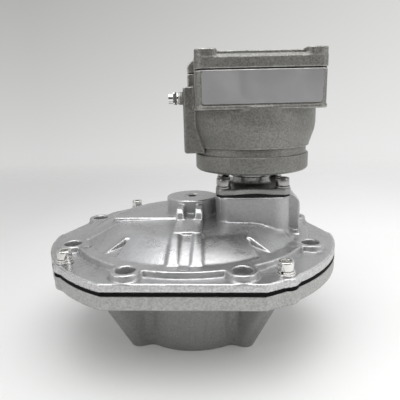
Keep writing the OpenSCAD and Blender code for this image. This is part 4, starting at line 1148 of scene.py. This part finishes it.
class VALVE_OT_enclosure(bpy.types.Operator):
    """Coil enclosure: round base, housing with its cable block, lid"""
    bl_idname = "valve.enclosure"
    bl_label = "Enclosure"

    def execute(self, context):
        self.base()
        self.housing()
        self.lid()
        return {"FINISHED"}

    def base(self):
        """Round base by its closed profile, carried round the pilot's axis."""
        z0 = BASE_UNDER
        profile = [[8.3, z0], [42.7, z0], [44.3, z0 + 1.6], [44.3, z0 + 12.2], [43.7, z0 + 12.8],
                   [42.5, z0 + 12.8], [42.5, z0 + 18.3], [39.6, z0 + 18.3], [39.6, z0 + 24.3],
                   [36, z0 + 24.3], [36, z0 + 6.2], [8.3, z0 + 6.2]]
        p, faces = lathe(soften(profile, 0.5, 3), 180)
        self.turned_piece("enclosure_base", p, faces, np.zeros(len(p)))

    def turned_piece(self, node, p, faces, bulge):
        """Skin of one part of the enclosure, turned and moved to the pilot's axis."""
        make_piece(node + "_skin", head_place(p), faces, "enclosure_casting", "enclosure", [node], bulge)

    def housing(self):
        """Drum, box and cable block in one casting, hollow from below and above."""
        z = DRUM_UNDER
        top = LID_UNDER - 0.8
        hub0, hub1 = BOX_UNDER - 32, BOX_UNDER + 16.5
        c = Casting((-58, -49, hub0), (47, 49, top))
        drum = [(35, z), (44.5, z), (44.7, z + 1.5), (48.2, z + 12), (48.9, z + 17), (48.9, BOX_UNDER + 1.5),
                (47.4, BOX_UNDER + 3), (35, BOX_UNDER + 3)]
        turned(c, drum)
        block(c, (0, 0), (45.6, 48.1), 6.6, BOX_UNDER, BOX_UNDER + 2.4, 0.7, 0.8)
        block(c, (0, 0), BOX[:2], BOX[2], BOX_UNDER, top, 0.5, 0.8)
        mid = (hub0 + hub1)/2

        def hub(x, y, z):
            """Cable block: a box with bevelled edges round its outer face."""
            box = np.maximum(np.maximum(-53.4 - x, x + 20), np.abs(y) - 20)
            box = np.maximum(box, np.maximum(hub0 - z, z - hub1))
            sides = (np.abs(y) - x - 20 - 53.4 + 1.2)*BEVEL
            ends = (np.abs(z - mid) - (hub1 - hub0)/2 - x - 53.4 + 1.2)*BEVEL
            return np.maximum(box, np.maximum(sides, ends))
        c.join(hub, (-53.4, -20, hub0), (-20, 20, hub1), 1.5)
        block(c, (-45, 0), (4.6, 13), 0.5, hub1 - 2, top, 0.4, 0.8)
        c.join(lambda x, y, z: prism(np.hypot(y + 13.5, z - hub1 + 8) - 4.6, x, -56.8, -50, 0.3),
               (-56.8, -19, hub1 - 13), (-50, -8, hub1 - 3), 0.6)
        holes(c, 42.8, CENTRE, hub0 - 3, z, 0.3)
        holes(c, 36, CENTRE, z - 3, top + 3, 0.4)
        holes(c, 39.75, CENTRE, z - 3, z + 6.3, 0.3)

        def inside_box(x, y, z):
            """Inside of the box, less a round post at each lid screw."""
            plan = oblong(x, y, 39, 41.5, 4)
            for cx, cy in LID_SCREWS:
                plan = np.maximum(plan, -rod(x, y, cx, cy, 7.2))
            return prism(plan, z, BOX_UNDER + 5, top + 5, 0)
        c.carve(inside_box, (-39, -42, BOX_UNDER + 5), (39, 42, top + 3), 0.5)
        holes(c, 2.55, LID_SCREWS, top - 14, top + 3)
        c.carve(lambda x, y, z: prism(np.hypot(y, z - mid) - 9.2, x, -58, -30, 0),
                (-58, -10, mid - 10), (-30, 10, mid + 10), 0.5)
        c.carve(lambda x, y, z: prism(np.hypot(y + 13.5, z - hub1 + 8) - 2.05, x, -60, -45.8, 0),
                (-60, -16, hub1 - 11), (-45.8, -11, hub1 - 5), 0.2)
        p, faces, bulge = skin(c, 0.78)
        p[:, 2] = np.clip(p[:, 2], hub0, top)
        self.turned_piece("enclosure_housing", p, faces, bulge)

    def lid(self):
        """Lid with bevelled edges, a raised deck and a round post at each screw."""
        z0, z1 = LID_UNDER, LID_TOP
        deck = z1 - 3.6
        c = Casting((-50, -48, z0), (46, 48, z1))

        def shell(x, y, z):
            """Box plan raised to the deck, less a bevel along its four upper edges."""
            body = prism(oblong(x, y, *BOX), z, z0, deck, 0.5)
            bevel = np.maximum((np.abs(y) - 47.5 + z - deck + 2.2)*BEVEL,
                               (np.abs(x) - 45 + z - deck + 2.2)*BEVEL)
            return np.maximum(body, bevel)
        c.join(shell, (-45, -48, z0), (45, 48, deck))
        block(c, (0, 0), (36, 38.5), 4, z0, z1 - 0.8, 0.7, 1.2)
        for cx, cy in LID_SCREWS:
            def post(x, y, z, cx=cx, cy=cy):
                """Square post with round corners, cut off at the box's plan."""
                square = prism(oblong(x - cx, y - cy, 7.5, 7.5, 4), z, z0, z1, 0.8)
                return np.maximum(square, oblong(x, y, *BOX))
            c.join(post, (cx - 8, cy - 8, z0), (cx + 8, cy + 8, z1), 1.2)

        def side(x, y, z):
            """Pad over the cable block, its upper edge bevelled."""
            pad = prism(oblong(x + 45, y, 4.6, 13, 0.5), z, z0, z0 + 9.3, 0.4)
            return np.maximum(pad, (z - z0 - 9.3 - x - 49.6 + 4.24)*BEVEL)
        c.join(side, (-50, -13, z0), (-40, 13, z0 + 9.3), 0.6)
        block(c, (0, 0), (30, 32.5), 4, z0 - 3, z1 - 5, 0.8, 0.5, carve=True)
        holes(c, 2.7, LID_SCREWS, z0 - 3, z1 + 3)
        holes(c, 4.9, LID_SCREWS, z1 - 5.4, z1 + 3)
        p, faces, bulge = skin(c, 0.64)
        p[:, 2] = np.clip(p[:, 2], z0, z1)
        self.turned_piece("enclosure_lid", p, faces, bulge)


class VALVE_OT_finishes(bpy.types.Operator):
    """Finish of every part that keeps its own solid"""
    bl_idname = "valve.finishes"
    bl_label = "Finishes"

    def execute(self, context):
        slots = {s["node"]: s["material_slot"] for s in frame["record"]["subparts"]}
        for node, piece in frame["nodes"].items():
            piece = bpy.data.objects[piece] if isinstance(piece, str) else piece
            name = slots[node]
            material = finish(name)
            if name in ("body_casting", "cover_casting", "enclosure_casting", "bonnet_metal"):
                plain = name + "_plain"
                if plain not in FINISHES:
                    FINISHES[plain] = self.without_relief(name, plain)
                material = FINISHES[plain]
            piece.data.materials.clear()
            piece.data.materials.append(material)
        return {"FINISHED"}

    def without_relief(self, name, plain):
        """The casting finish for a solid that carries no relief attribute."""
        colours = {"body_casting": "body_colour", "cover_casting": "cover_colour"}
        colour = getattr(bpy.context.scene.valve_finish, colours.get(name, "enclosure_colour"))
        return cast_material(plain, tuple(colour), 0.4, 0.6, 0.3, 0.4, 0.0, relief=False)


class VALVE_PT_build(bpy.types.Panel):
    """Sizes, colours and the build steps"""
    bl_idname = "VALVE_PT_build"
    bl_label = "Pulse valve"
    bl_space_type = "VIEW_3D"
    bl_region_type = "UI"
    bl_category = "Pulse valve"

    def draw(self, context):
        scene = context.scene
        for group in (scene.valve_cover, scene.valve_body, scene.valve_finish, scene.valve_stage):
            for key in group.bl_rna.properties.keys():
                if key not in ("rna_type", "name"):
                    self.layout.prop(group, key)
        for step in STEPS:
            self.layout.operator(step.bl_idname)


STEPS = [VALVE_OT_stage, VALVE_OT_body, VALVE_OT_cover, VALVE_OT_fasteners, VALVE_OT_pilot,
         VALVE_OT_enclosure, VALVE_OT_finishes]
GROUPS = {"valve_finish": ValveFinish, "valve_cover": ValveCover, "valve_body": ValveBody,
          "valve_stage": ValveStage}


def register():
    for kind in [*GROUPS.values(), *STEPS, VALVE_PT_build]:
        bpy.utils.register_class(kind)
    for key, group in GROUPS.items():
        setattr(bpy.types.Scene, key, bpy.props.PointerProperty(type=group))


def unregister():
    for key in GROUPS:
        delattr(bpy.types.Scene, key)
    for kind in reversed([*GROUPS.values(), *STEPS, VALVE_PT_build]):
        bpy.utils.unregister_class(kind)


def main():
    register()
    bpy.ops.valve.stage()
    bpy.ops.valve.body()
    bpy.ops.valve.cover()
    bpy.ops.valve.fasteners()
    bpy.ops.valve.pilot()
    bpy.ops.valve.enclosure()
    bpy.ops.valve.finishes()


if __name__ == "__main__":
    main()
